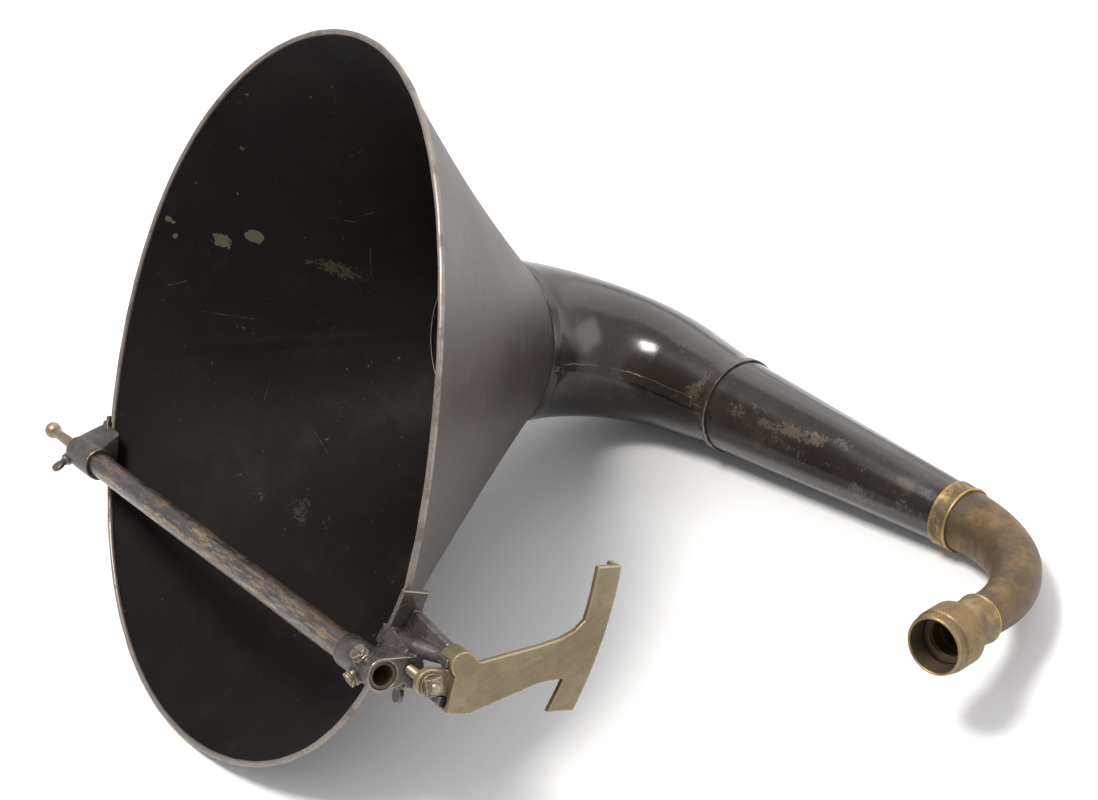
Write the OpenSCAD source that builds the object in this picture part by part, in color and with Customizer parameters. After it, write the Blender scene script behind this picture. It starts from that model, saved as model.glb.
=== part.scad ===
// Horn loudspeaker: a sheet-metal bell on a bent and tapered throat tube, a brass elbow
// with a union nut for the sound unit, and a yoke across the mouth that carries a bracket.
// Everything is laid out in the bell's own frame (origin at the centre of the mouth, Z into
// the bell) and then laid down on its side, which is how the horn rests by itself.

/* [Bell] */
// Radius of the mouth
mouth_r = 178; // [170:1:186]
// Height of the saddle-shaped wave that the thin mouth has sprung into
mouth_saddle = 4.8; // [0:0.1:5.5]
// Height of the three-lobed wave in the mouth
mouth_wave = 3.2; // [0:0.1:3.6]
// Radius of the rolled bead round the mouth
bead_r = 1.6; // [1.3:0.1:1.9]
// Radius of the throat, outside the throat tube
throat_r = 43; // [41:0.5:45]
// Distance that the bell's wall sags towards its axis, halfway up
bell_sag = 3; // [0:0.5:5]

/* [Throat tube] */
// Radius of the gooseneck's centre line
neck_bend_r = 68; // [64:1:80]
// Angle through which the gooseneck turns
neck_bend = 86; // [80:1:90]
// Length of the straight tube from the gooseneck's bend to the elbow
taper_len = 192; // [180:1:205]
// Distance from the bend to the joint between the gooseneck and the tapered tube
joint_at = 40; // [34:1:46]
// Radius of the throat tube at that joint
joint_r = 24.3; // [23.5:0.1:25.5]
// Radius of the throat tube at the elbow
taper_end_r = 15; // [14.5:0.1:15.5]
// Thickness of the sheet in the bell and in the throat tube
sheet = 1.2; // [1:0.1:1.4]

/* [Elbow and union] */
// Radius of the elbow's centre line
elbow_bend_r = 66; // [60:1:72]
// Angle through which the elbow turns
elbow_bend = 82; // [76:1:86]
// Twist of the elbow out of the gooseneck's plane
elbow_twist = 10; // [4:1:16]
// Radius of the elbow at the union
tail_r = 10.2; // [10:0.1:10.4]
// Distance from the end of the elbow's bend to the face of the union nut
tail_len = 46; // [44:1:50]
// Outer radius of the union nut over its knurling
nut_r = 15; // [14.6:0.1:15.4]
// Length of the union nut
nut_len = 18; // [17:0.5:20]
// Radius of the union nut's thread, at its crests
nut_thread_r = 12; // [11.8:0.1:12.2]

/* [Yoke] */
// Distance of the cross tube from the centre of the mouth
yoke_offset = 77.4; // [76:0.1:79]
// Distance of the cross tube in front of the mouth
yoke_front = 14; // [13.5:0.5:16]
// Angle of the cross tube in the plane of the mouth
yoke_angle = 10.5; // [8:0.5:13]
// Radius of the cross tube
tube_r = 6.35; // [6.2:0.05:6.5]
// Radius of the bore through the cross tube
tube_bore_r = 4.7; // [4.5:0.1:4.9]
// Radius of the ball pin
pin_r = 3; // [2.8:0.1:3.2]
// Travel of the ball pin into the left casting
pin_travel = 16; // [12:1:18]
// Distance between the two prongs that carry the bracket
prong_pitch = 16.4; // [16:0.1:16.8]
// Thickness of the bracket's plate
plate_t = 3.2; // [2.8:0.1:3.6]

/* [Rest] */
// Angle from level to the axis of the bell when the horn lies on its side
rest_tip = -130.14; // [-134:0.01:-127]
// Turn of the horn about the axis of the bell when it lies on its side
rest_turn = -0.62; // [-3:0.01:3]

/* [Hidden] */

run = 0.05;                          // radial clearance of a running fit
bell_sides = 96;                     // facets round the bell
bell_rings = 9;                      // rings along the bell
tube_sides = 48;                     // facets round the bent tubes
bead_sides = 10;                     // facets round the rolled bead
rim_wall = sheet * 1.4;              // sheet measured along the mouth's radius
throat_pos = [-32, -33, 138.5];      // centre of the throat
throat_turn = [6.6, -8.6, -4.7];     // direction of the throat
spigot_in = 14;                      // length of the throat tube that stands inside the bell
spigot_out = 6;                      // straight part behind the bell, before the bend
neck_wall_end = joint_r - sheet;
saddle_at = 53;                      // direction of the saddle's crest
wave_at = 31;                        // direction of the three-lobed wave's crest
ferrule_t = 0.9;
elbow_wall = 1.6;
elbow_tail = 10;                     // straight end of the elbow, up to the union's sleeve
nut_web = 3;                         // thickness of the nut behind its flange
flange_t = 3;
gasket_t = 1.6;
elbow_rings = 18;
neck_rings = 18;
hub_r = 8.5;                         // outer radius of the left hub
right_hub_r = 7.8;
left_hub = [-181, -144];             // ends of the left hub along the yoke
right_hub = [158, 192];              // ends of the right hub along the yoke
tube_start = -168;                   // left end of the cross tube
ball_x = -216.5;                     // centre of the pin's ball
bead_out_r = mouth_r - rim_wall / 2 + bead_r + 0.1;
lip_t = 2.4;                         // thickness of the lips over the bead
left_lip_z = -3.6;
right_lip_z = -0.7;
sector = 6;                          // step of the space cut for the mouth
left_boss = 10;                      // height of the left thumbscrew's boss above the axis
left_boss_turn = 45;
right_boss = 9;                      // height of the right thumbscrew's boss above the stud
clamp_boss = 9.3;
clamp_screws = [[181, -37], [178, 42]];  // place along the yoke and turn of each screw
stud_r = 2.4;
stud_y = -3.6;                       // place of the stud beside the yoke's axis
stud_z = 12.1;
stud_end = 217;
plate_x = 216;                       // outer face of the bracket's plate
plate_y = 2.6;
box_z = 20;                          // near side of the box at the foot of the plate
eye_x = 207;                         // inner face of the eye's lug
eye_t = 4;
bar_r = 185;                         // radius of the bracket's curved bar
prong_t = 4;
prong_w = 8;
prong_z = 17.5;
prong_end = 211;
lower_prong_y = 3.4;
upper_prong_y = lower_prong_y - prong_pitch;
fit_gap = 0.3;                       // gap round what slides without touching

// ---- directions and places ---------------------------------------------------------

function rot_x(a, v) = [v.x, v.y * cos(a) - v.z * sin(a), v.y * sin(a) + v.z * cos(a)];
function rot_y(a, v) = [v.x * cos(a) + v.z * sin(a), v.y, -v.x * sin(a) + v.z * cos(a)];
function rot_z(a, v) = [v.x * cos(a) - v.y * sin(a), v.x * sin(a) + v.y * cos(a), v.z];
function turn(t, v) = rot_z(t.z, rot_y(t.y, rot_x(t.x, v)));
function lerp(a, b, t) = a + (b - a) * t;

// Centre line of a bend of radius r after it has turned by a
function bend_at(r, a) = [r * (1 - cos(a)), 0, r * sin(a)];

// Places along the throat tube, each in the frame of the piece before it
elbow_to_union = bend_at(elbow_bend_r, elbow_bend) + rot_y(elbow_bend, [0, 0, tail_len]);
taper_to_union = [0, 0, taper_len] + rot_z(elbow_twist, elbow_to_union);
throat_to_union = [0, 0, spigot_out] + bend_at(neck_bend_r, neck_bend)
                  + rot_y(neck_bend, taper_to_union);
union_in_bell = throat_pos + turn(throat_turn, throat_to_union);
union_at_rest = rot_x(rest_tip, rot_z(rest_turn, union_in_bell));

// From the bell's frame to the frame of the horn at rest, with the union's face as origin
module at_rest() {
  translate(-union_at_rest) rotate([rest_tip, 0, 0]) rotate([0, 0, rest_turn]) children();
}

module on_throat() {
  at_rest() translate(throat_pos) rotate(throat_turn) children();
}

module on_taper() {
  on_throat() translate([0, 0, spigot_out] + bend_at(neck_bend_r, neck_bend))
    rotate([0, neck_bend, 0]) children();
}

module on_elbow() {
  on_taper() translate([0, 0, taper_len]) rotate([0, 0, elbow_twist]) children();
}

module on_union() {
  on_elbow() translate(bend_at(elbow_bend_r, elbow_bend)) rotate([0, elbow_bend, 0])
    children();
}

// X along the cross tube, Y away from the mouth's centre, Z into the bell
module on_yoke() {
  at_rest() rotate([0, 0, -yoke_angle]) translate([0, yoke_offset, -yoke_front]) children();
}

// ---- shapes used more than once ------------------------------------------------------

module ring(r_out, r_in, h) {
  difference() {
    cylinder(r = r_out, h = h, $fn = 96);
    translate([0, 0, -1]) cylinder(r = r_in, h = h + 2, $fn = 96);
  }
}

// A cylinder along X from x0 to x1
module rod_x(r, x0, x1) {
  translate([x0, 0, 0]) rotate([0, 90, 0]) cylinder(r = r, h = x1 - x0, $fn = 64);
}

// A closed skin through a list of rings with the same, even number of points, each ring
// running anticlockwise as seen from the next one
module skin(rings, closed_loop = false) {
  n = len(rings[0]);
  m = len(rings);
  points = [for (r = rings) each r];
  last = closed_loop ? m : m - 1;
  top = (m - 1) * n;
  sides = [for (i = [0:last - 1], j = [0:n - 1], k = [0, 1])
    let (a = i * n + j, b = i * n + (j + 1) % n,
         c = ((i + 1) % m) * n + (j + 1) % n, d = ((i + 1) % m) * n + j)
    k == 0 ? [a, c, b] : [a, d, c]];
  ends = closed_loop ? [] : [for (j = [0:n / 2 - 2], k = [0:3])
    let (a = j, b = j + 1, c = n - 2 - j, d = n - 1 - j)
    [[a, b, c], [a, c, d], [top + a, top + c, top + b], [top + a, top + d, top + c]][k]];
  polyhedron(points = points, faces = concat(sides, ends), convexity = 8);
}

// A ring of points round a bend's centre line, from angle a0 to a1 round the tube
function bend_ring(bend_r, bend, r, a0, a1, steps) = [for (i = [0:steps])
  let (a = a0 + (a1 - a0) * i / steps)
  bend_at(bend_r, bend) + rot_y(bend, [r * cos(a), r * sin(a), 0])];

function reverse(list) = [for (i = [len(list) - 1:-1:0]) list[i]];

// ---- bell ------------------------------------------------------------------------------

// Height of the mouth's edge at angle a: the thin sheet has sprung out of flat
function mouth_lift(a) = mouth_saddle * cos(2 * (a - saddle_at))
                       + mouth_wave * cos(3 * (a - wave_at));

function mouth_point(a, r) = [r * cos(a), r * sin(a), mouth_lift(a)];

function throat_point(a, r) = throat_pos
  + turn(throat_turn, [r * cos(a - throat_turn.z), r * sin(a - throat_turn.z), 0]);

// A point on the bell's wall, s = 0 at the mouth and 1 at the throat
function bell_point(a, s, inset) =
  lerp(mouth_point(a, mouth_r - inset), throat_point(a, throat_r + 1.3 - inset * 0.6), s)
  - bell_sag * 4 * s * (1 - s) * [cos(a), sin(a), 0];

function bell_ring(a) = concat(
  [for (i = [0:bell_rings]) bell_point(a, i / bell_rings, 0)],
  [for (i = [bell_rings:-1:0]) bell_point(a, i / bell_rings, rim_wall)]);

module bell() {
  color([0.2, 0.19, 0.18]) at_rest()
    skin([for (k = [0:bell_sides - 1]) bell_ring(-k * 360 / bell_sides)], closed_loop = true);
}

module rim_bead() {
  centre_r = mouth_r - rim_wall / 2;
  color([0.45, 0.42, 0.39]) at_rest()
    skin([for (k = [0:bell_sides - 1]) let (a = -k * 360 / bell_sides)
      [for (j = [0:bead_sides - 1]) let (b = j * 360 / bead_sides)
        mouth_point(a, centre_r + bead_r * cos(b)) + [0, 0, bead_r * sin(b)]]],
      closed_loop = true);
}

// ---- throat tube -------------------------------------------------------------------

module throat_band() {
  color([0.3, 0.28, 0.26]) on_throat() translate([0, 0, 0.2])
    ring(throat_r + 1.2, throat_r + run, 2.6);
}

neck_arc_len = neck_bend_r * neck_bend * PI / 180;
neck_len = neck_arc_len + joint_at;

// Outer radius of the gooseneck at distance u from the start of its bend
function neck_r(u) = max(joint_r, lerp(throat_r, joint_r, u / (neck_len - 8)));

// Section of a half shell, from angle a0 to a1, at distance u along the centre line
function shell_section(u, a0, a1, steps) =
  let (bend = min(u / neck_bend_r * 180 / PI, neck_bend),
       past = max(0, u - neck_arc_len),
       before = min(u, 0),
       outer = bend_ring(neck_bend_r, max(bend, 0), neck_r(max(u, 0)), a0, a1, steps),
       inner = bend_ring(neck_bend_r, max(bend, 0), neck_r(max(u, 0)) - sheet, a0, a1, steps),
       shift = rot_y(max(bend, 0), [0, 0, past + before]) + [0, 0, spigot_out])
  [for (p = concat(outer, reverse(inner))) p + shift];

strip_stations = concat([for (i = [1:neck_rings]) neck_arc_len * i / neck_rings], [neck_len - 10]);
neck_stations = concat([-spigot_in - spigot_out, 0],
  [for (i = [1:neck_rings]) neck_arc_len * i / neck_rings], [neck_len - 8, neck_len]);

module neck_shell(a0, a1) {
  on_throat() skin([for (u = neck_stations) shell_section(u, a0, a1, tube_sides / 2)]);
}

module gooseneck_upper_shell() {
  color([0.13, 0.12, 0.12]) neck_shell(180, 360);
}

module gooseneck_lower_shell() {
  color([0.12, 0.11, 0.11]) neck_shell(0, 180);
}

// Flat strips soldered over the two seams of the gooseneck
module gooseneck_seam_strips() {
  strip_t = 0.9;
  color([0.24, 0.21, 0.19]) on_throat() for (side = [0, 180]) {
    skin([for (u = strip_stations)
      let (bend = min(u / neck_bend_r * 180 / PI, neck_bend),
           past = max(0, u - neck_arc_len),
           r = neck_r(u),
           half = 3 / r * 180 / PI,
           shift = rot_y(bend, [0, 0, past]) + [0, 0, spigot_out])
      [for (p = concat(bend_ring(neck_bend_r, bend, r + strip_t, side - half, side + half, 2),
                       bend_ring(neck_bend_r, bend, r + 0.1, side + half, side - half, 2)))
        p + shift]]);
  }
}

module joint_ring() {
  color([0.4, 0.33, 0.27]) on_taper() translate([0, 0, joint_at - 3])
    ring(joint_r + 0.9, joint_r + run, 3.6);
}

// Tapered tube from the gooseneck to the elbow, with a spigot inside the gooseneck
module taper_tube() {
  start = joint_at + 0.1;
  plug = 9;
  body = taper_len - start;
  color([0.14, 0.12, 0.11]) on_taper() difference() {
    union() {
      translate([0, 0, start]) cylinder(r1 = joint_r - 0.1, r2 = taper_end_r, h = body, $fn = 96);
      translate([0, 0, start - plug]) cylinder(r = neck_wall_end - 0.15, h = plug + 1, $fn = 96);
    }
    translate([0, 0, start - plug - 1]) cylinder(r = neck_wall_end - 0.15 - sheet, h = plug + 2, $fn = 96);
    translate([0, 0, start]) cylinder(r1 = neck_wall_end - 0.15 - sheet, r2 = taper_end_r - sheet,
                                      h = body, $fn = 96);
    translate([0, 0, taper_len - 0.5]) cylinder(r = taper_end_r - sheet, h = 1, $fn = 96);
  }
}

// Sleeve over the end of the tapered tube, with a fine raised line at the elbow
module elbow_ferrule() {
  len = 9;
  at_start = lerp(taper_end_r, joint_r, len / (taper_len - joint_at));
  color([0.55, 0.42, 0.2]) on_elbow() translate([0, 0, -len]) difference() {
    union() {
      cylinder(r1 = at_start + ferrule_t, r2 = taper_end_r + ferrule_t, h = len, $fn = 96);
      translate([0, 0, len - 0.5]) cylinder(r = taper_end_r + ferrule_t + 0.4, h = 1.5, $fn = 96);
    }
    translate([0, 0, -0.01]) cylinder(r1 = at_start + 0.1, r2 = taper_end_r + run, h = len + 0.01,
                                      $fn = 96);
    translate([0, 0, len - 0.01]) cylinder(r = taper_end_r + run, h = 2, $fn = 96);
  }
}

// ---- elbow and union ---------------------------------------------------------------

// A point on the elbow, t = 0 at its start and 1 at its end, at angle a round the tube; the
// elbow runs straight on past its end
function elbow_point(t, a, inset) =
  let (r = lerp(taper_end_r, tail_r, min(t, 1)) - inset, turned = min(t, 1) * elbow_bend,
       past = t > 1 ? elbow_tail : 0)
  bend_at(elbow_bend_r, turned) + rot_y(turned, [r * cos(a), r * sin(a), past]);

module brass_elbow() {
  color([0.42, 0.32, 0.19]) on_elbow()
    skin([for (j = [0:tube_sides - 1]) let (a = -j * 360 / tube_sides) concat(
      [for (k = [0:elbow_rings + 1]) elbow_point(k / elbow_rings, a, 0)],
      [for (k = [elbow_rings + 1:-1:0]) elbow_point(k / elbow_rings, a, elbow_wall)])],
      closed_loop = true);
}

nut_back = tail_len - nut_len;

// Sleeve between the elbow and the nut, with a raised line at the elbow
module union_ferrule() {
  color([0.45, 0.35, 0.2]) on_union() translate([0, 0, elbow_tail + 0.05]) difference() {
    union() {
      cylinder(r = tail_r + 1, h = nut_back - elbow_tail - 0.4, $fn = 96);
      cylinder(r = tail_r + 1.5, h = 1.2, $fn = 96);
    }
    translate([0, 0, -1]) cylinder(r = tail_r - elbow_wall, h = tail_len, $fn = 96);
  }
}

// Short brass tail with the flange that the union nut pulls on
module union_tailpiece() {
  color([0.5, 0.39, 0.22]) on_union() translate([0, 0, nut_back]) difference() {
    union() {
      translate([0, 0, -0.3]) cylinder(r = tail_r, h = 5, $fn = 96);
      translate([0, 0, nut_web + 0.1]) cylinder(r = nut_thread_r - 0.6, h = flange_t, $fn = 96);
    }
    translate([0, 0, -1]) cylinder(r = tail_r - elbow_wall, h = nut_len, $fn = 96);
  }
}

module union_gasket() {
  color([0.3, 0.17, 0.1]) on_union()
    translate([0, 0, nut_back + nut_web + flange_t + 0.15])
      ring(nut_thread_r - 0.6, tail_r - elbow_wall, gasket_t);
}

module union_nut() {
  teeth = 60;
  tooth = 0.7;
  recess = nut_web + flange_t + gasket_t + 0.2;
  lip = 1.5;
  plain = 4;
  color([0.58, 0.45, 0.24]) on_union() translate([0, 0, nut_back]) difference() {
    union() {
      linear_extrude(nut_len - plain - lip)
        polygon([for (i = [0:2 * teeth - 1])
          (nut_r - (i % 2) * tooth) * [cos(i * 180 / teeth), sin(i * 180 / teeth)]]);
      translate([0, 0, nut_len - plain - lip])
        cylinder(r1 = nut_r - 0.8, r2 = nut_r - 1.2, h = plain, $fn = 96);
      translate([0, 0, nut_len - lip])
        cylinder(r1 = nut_r - 1.2, r2 = nut_thread_r + 0.8, h = lip, $fn = 96);
    }
    translate([0, 0, -1]) cylinder(r = tail_r + run, h = nut_len + 2, $fn = 96);
    translate([0, 0, nut_web]) cylinder(r = nut_thread_r - 0.3, h = nut_len, $fn = 96);
    translate([0, 0, recess]) cylinder(r = nut_thread_r, h = nut_len, $fn = 96);
  }
}

// ---- yoke ----------------------------------------------------------------------------

// The tube's open end is reamed a little wider than the rest of its bore
module cross_tube() {
  end = right_hub[1] - 0.6;
  color([0.3, 0.24, 0.2]) on_yoke() difference() {
    rod_x(tube_r, tube_start, end);
    rod_x(tube_bore_r - 0.2, tube_start - 1, end);
    rod_x(tube_bore_r, end - 40, end + 1);
  }
}

// Draws what is inside it in the bell's frame, from within the yoke's frame
module in_bell_frame() {
  translate([0, -yoke_offset, yoke_front]) rotate([0, 0, yoke_angle]) children();
}

// A band against the outside of the mouth's bead, between two angles and two heights
module rim_band(a0, a1, z0, z1) {
  rotate([0, 0, a0]) rotate_extrude(angle = a1 - a0, $fn = 192)
    translate([bead_out_r, z0]) square([2.8, z1 - z0]);
}

// A lip that lies over the front of the bead, with its back at height z
module rim_lip(a0, a1, z) {
  rotate([0, 0, a0]) rotate_extrude(angle = a1 - a0, $fn = 192)
    translate([mouth_r - 3, z - lip_t]) square([6, lip_t]);
}

// The space that the bell and its bead take from angle a0 on, in sectors
module mouth_clearance(a0) {
  for (a = [a0:sector:a0 + 9 * sector]) rotate([0, 0, a - 0.05])
    rotate_extrude(angle = sector + 0.1, $fn = 192) {
      low = min(mouth_lift(a), mouth_lift(a + sector)) - bead_r - 0.1;
      polygon([[90, low], [bead_out_r - 0.05, low], [bead_out_r - 0.05, 8],
               [mouth_r - 60, 70], [90, 70]]);
    }
}

// A cylinder along X at a place beside the yoke's axis
module stub_x(r, x0, x1, y, z) {
  translate([0, y, z]) rod_x(r, x0, x1);
}

// A screw's place: at x on the yoke's axis, pointing out of the mouth, turned by a about X
module radial(x, a) {
  translate([x, 0, 0]) rotate([a, 0, 0]) rotate([180, 0, 0]) children();
}

// The right thumbscrew's place: over the end of the stud, pointing away from the mouth's centre
module over_stud() {
  translate([right_hub[1] - 5, stud_y, stud_z]) rotate([-90, 0, 0]) children();
}

// A screw with a flat oval thumb piece, its stem r thick and reach long
module thumbscrew(r, reach) {
  cylinder(r = r, h = reach + 1, $fn = 48);
  translate([0, 0, reach]) cylinder(r1 = r + 1, r2 = r, h = 1.6, $fn = 48);
  translate([0, 0, reach + 4]) intersection() {
    rotate([90, 0, 0]) cylinder(r = 3.6, h = 2.2, center = true, $fn = 48);
    cylinder(r = 3.6, h = 9, center = true, $fn = 48);
  }
}

module left_casting() {
  hub_end = left_hub[0];
  color([0.33, 0.31, 0.3]) on_yoke() difference() {
    union() {
      rod_x(hub_r, hub_end + 8, left_hub[1]);
      translate([hub_end, 0, 0]) rotate([0, 90, 0])
        cylinder(r1 = pin_r + 2.5, r2 = hub_r, h = 8, $fn = 64);
      in_bell_frame() {
        rim_band(144.4, 151.4, -4, 6);
        rim_lip(146, 150.5, left_lip_z);
      }
      // Web from the hub to the rim
      hull() {
        stub_x(6, hub_end + 5, left_hub[1] - 2, -2, 1);
        stub_x(2, hub_end + 8, left_hub[1] - 8, -15.5, 12);
        stub_x(2, hub_end + 8, left_hub[1] - 5, -5.5, 16);
      }
      radial(hub_end + 6, left_boss_turn) cylinder(r = 3.4, h = left_boss, $fn = 48);
    }
    rod_x(tube_r + run, tube_start, left_hub[1] + 1);
    rod_x(pin_r + run, hub_end - 1, tube_start + 1);
    radial(hub_end + 6, left_boss_turn) cylinder(r = 1.5 + run, h = 20, $fn = 48);
    in_bell_frame() mouth_clearance(124);
  }
}

module ball_pin() {
  ball_r = 4.6;
  color([0.6, 0.52, 0.42]) on_yoke() {
    rod_x(pin_r, ball_x + 3, tube_start + 18);
    translate([ball_x, 0, 0]) rotate([0, 90, 0]) sphere(r = ball_r, $fn = 64);
  }
}

module left_thumbscrew() {
  color([0.4, 0.36, 0.33]) on_yoke() radial(left_hub[0] + 6, left_boss_turn)
    translate([0, 0, pin_r + 0.1]) thumbscrew(1.5, left_boss - pin_r + 0.2);
}

module right_casting() {
  face_x = right_hub[1];
  color([0.36, 0.34, 0.33]) on_yoke() difference() {
    union() {
      rod_x(right_hub_r, right_hub[0], face_x);
      in_bell_frame() {
        rim_band(3.5, 13.5, -4, 9);
        rim_lip(11.2, 13.4, right_lip_z);
      }
      // Web beside the hub
      hull() {
        stub_x(right_hub_r - 0.01, face_x - 15, face_x, 0, 0);
        stub_x(5, face_x - 15, face_x, stud_y - 1, stud_z + 2);
      }
      // Foot on the rim
      hull() {
        stub_x(4.5, face_x - 18, face_x - 4, stud_y - 3.5, stud_z + 1.5);
        translate([163, -15, 11]) cube([10, 10, 8]);
      }
      // Rounded arm from the web to the upper prong
      hull() {
        stub_x(4, face_x - 16, face_x - 4, -12, 15.5);
        stub_x(3, face_x + 7, face_x + 10, upper_prong_y, prong_z + 3);
      }
      // Brace from the rim to the upper prong
      hull() {
        translate([171, -24, 18.5]) cube([5, 9, 4]);
        translate([plate_x - 14, upper_prong_y - 6, 21]) cube([0.5, 7, 4]);
      }
      translate([face_x - 14, upper_prong_y - prong_t / 2, prong_z])
        cube([prong_end - face_x + 14, prong_t, prong_w]);
      // Lower prong, from the web
      translate([face_x - 12, lower_prong_y - prong_t / 2, prong_z - 6])
        cube([12, prong_t, prong_w + 6]);
      translate([face_x - 1, lower_prong_y - prong_t / 2, prong_z])
        cube([prong_end - face_x + 1, prong_t, prong_w]);
      for (s = clamp_screws) radial(s.x, s.y) cylinder(r = 4.2, h = clamp_boss, $fn = 48);
      over_stud() cylinder(r = 3.4, h = right_boss, $fn = 48);
    }
    rod_x(tube_r + run, right_hub[0] - 1, face_x + 1);
    stub_x(stud_r + run, face_x - 12, face_x + 1, stud_y, stud_z);
    for (s = clamp_screws) radial(s.x, s.y) cylinder(r = 1.8 + run, h = 20, $fn = 48);
    over_stud() cylinder(r = 1.5 + run, h = 20, $fn = 48);
    in_bell_frame() mouth_clearance(-22);
  }
}

// Two slotted cheese-head screws that hold the cross tube in the right hub
module tube_clamp_screws() {
  head_r = 3.6;
  head_h = 2;
  color([0.55, 0.5, 0.42]) on_yoke() for (s = clamp_screws) radial(s.x, s.y) difference() {
    union() {
      translate([0, 0, tube_r + run]) cylinder(r = 1.8, h = clamp_boss - tube_r, $fn = 48);
      translate([0, 0, clamp_boss + run]) cylinder(r = head_r, h = head_h, $fn = 48);
    }
    translate([-head_r - 1, -0.5, clamp_boss + head_h - 0.8]) cube([2 * head_r + 2, 1, 2]);
  }
}

module right_thumbscrew() {
  color([0.34, 0.31, 0.29]) on_yoke() over_stud()
    translate([0, 0, stud_r + 0.1]) thumbscrew(1.5, right_boss - stud_r + 0.2);
}

// ---- bracket -----------------------------------------------------------------------

// Threaded stud, fixed in the right casting, that the bracket's eye slides on
module bracket_stud() {
  color([0.42, 0.37, 0.31]) on_yoke() stub_x(stud_r, right_hub[1] - 11, stud_end, stud_y, stud_z);
}

// Outline of the bracket's plate: a stem that widens into a long curved bar
module plate_outline() {
  polygon([[-21, 20], [4.8, 21], [4, 31], [-11.5, 62], [-14, 72], [-15, 80], [-44, 82],
           [-41, 78], [-36, 74], [-32, 68], [-28, 58], [-19, 31]]);
  bar_outline(12);
}

// The curved bar, w wide from its outer edge
module bar_outline(w) {
  intersection() {
    translate([-53, -94.7]) difference() {
      circle(r = bar_r, $fn = 256);
      circle(r = bar_r - w, $fn = 256);
    }
    rotate(7) translate([-55.2, 60]) square([65, 40]);
  }
}

// Extrudes an outline of the bracket from x0 to x1 along the yoke
module plate(x0, x1) {
  translate([x0, plate_y, 0]) rotate([90, 0, 90]) linear_extrude(x1 - x0) children();
}

module mount_bracket() {
  color([0.55, 0.49, 0.36]) on_yoke() difference() {
    union() {
      plate(plate_x - plate_t, plate_x) plate_outline();
      plate(plate_x - 9, plate_x - plate_t + 0.1) bar_outline(2.4);
      // Box at the foot of the plate, with a rounded knuckle on its upper side
      translate([plate_x - 11.5, -17.9, box_z]) cube([11.5, 25.3, 9]);
      translate([plate_x - 11.5, -14.4, box_z + 3]) rotate([0, 90, 0])
        cylinder(r = 6, h = 11.5, $fn = 64);
      // Lug with the eye for the stud
      translate([eye_x, stud_y, stud_z]) rotate([0, 90, 0]) cylinder(r = 6.8, h = eye_t, $fn = 64);
      translate([eye_x, stud_y - 6.8, stud_z]) cube([eye_t, 13.6, 9]);
    }
    for (y = [upper_prong_y, lower_prong_y])
      translate([plate_x - 20, y - prong_t / 2 - fit_gap, prong_z - 12])
        cube([20 - plate_t, prong_t + 2 * fit_gap, prong_w + 12 + fit_gap]);
    stub_x(stud_r + run, plate_x - 20, plate_x + 1, stud_y, stud_z);
  }
}

module bracket_washer() {
  color([0.45, 0.4, 0.3]) on_yoke() translate([eye_x + eye_t + 0.05, stud_y, stud_z])
    rotate([0, 90, 0]) ring(5, stud_r + run, 0.8);
}

// Square nut with a domed face
module bracket_nut() {
  color([0.38, 0.34, 0.3]) on_yoke() translate([eye_x + eye_t + 0.9, stud_y, stud_z])
    rotate([0, 90, 0]) difference() {
      intersection() {
        rotate(20) translate([-4, -4, 0]) cube([8, 8, 3.6]);
        translate([0, 0, -6.4]) sphere(r = 10.4, $fn = 64);
      }
      translate([0, 0, -1]) cylinder(r = stud_r + run, h = 6, $fn = 64);
    }
}

bell();
rim_bead();
throat_band();
gooseneck_upper_shell();
gooseneck_lower_shell();
gooseneck_seam_strips();
joint_ring();
taper_tube();
elbow_ferrule();
brass_elbow();
union_ferrule();
union_tailpiece();
union_gasket();
union_nut();
cross_tube();
left_casting();
ball_pin();
left_thumbscrew();
right_casting();
tube_clamp_screws();
right_thumbscrew();
bracket_stud();
mount_bracket();
bracket_nut();
bracket_washer();
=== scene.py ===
import math

import bmesh
import bpy
import numpy as np
from mathutils import Matrix, Vector


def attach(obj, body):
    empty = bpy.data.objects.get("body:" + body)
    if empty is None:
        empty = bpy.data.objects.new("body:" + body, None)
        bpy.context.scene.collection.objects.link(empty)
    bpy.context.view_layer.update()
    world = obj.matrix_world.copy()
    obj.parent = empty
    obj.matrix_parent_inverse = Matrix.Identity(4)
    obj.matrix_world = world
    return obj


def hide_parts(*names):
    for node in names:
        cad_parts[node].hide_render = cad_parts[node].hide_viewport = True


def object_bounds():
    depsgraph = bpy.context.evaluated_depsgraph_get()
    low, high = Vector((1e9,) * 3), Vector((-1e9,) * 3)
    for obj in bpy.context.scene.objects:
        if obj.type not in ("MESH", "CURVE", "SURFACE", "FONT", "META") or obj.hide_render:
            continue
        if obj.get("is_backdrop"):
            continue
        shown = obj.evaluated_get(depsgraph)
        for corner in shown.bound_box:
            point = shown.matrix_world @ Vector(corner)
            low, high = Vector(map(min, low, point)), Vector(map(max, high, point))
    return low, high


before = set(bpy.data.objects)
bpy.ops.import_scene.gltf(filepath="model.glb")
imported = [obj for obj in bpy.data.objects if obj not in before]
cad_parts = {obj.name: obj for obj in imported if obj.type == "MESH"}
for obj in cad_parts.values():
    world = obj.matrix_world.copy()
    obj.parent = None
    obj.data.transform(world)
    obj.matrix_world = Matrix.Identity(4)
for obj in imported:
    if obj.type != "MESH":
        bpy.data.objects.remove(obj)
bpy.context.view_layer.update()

MM = 0.001

# ---- the horn's dimensions, in mm and degrees, as in the CAD

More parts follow.
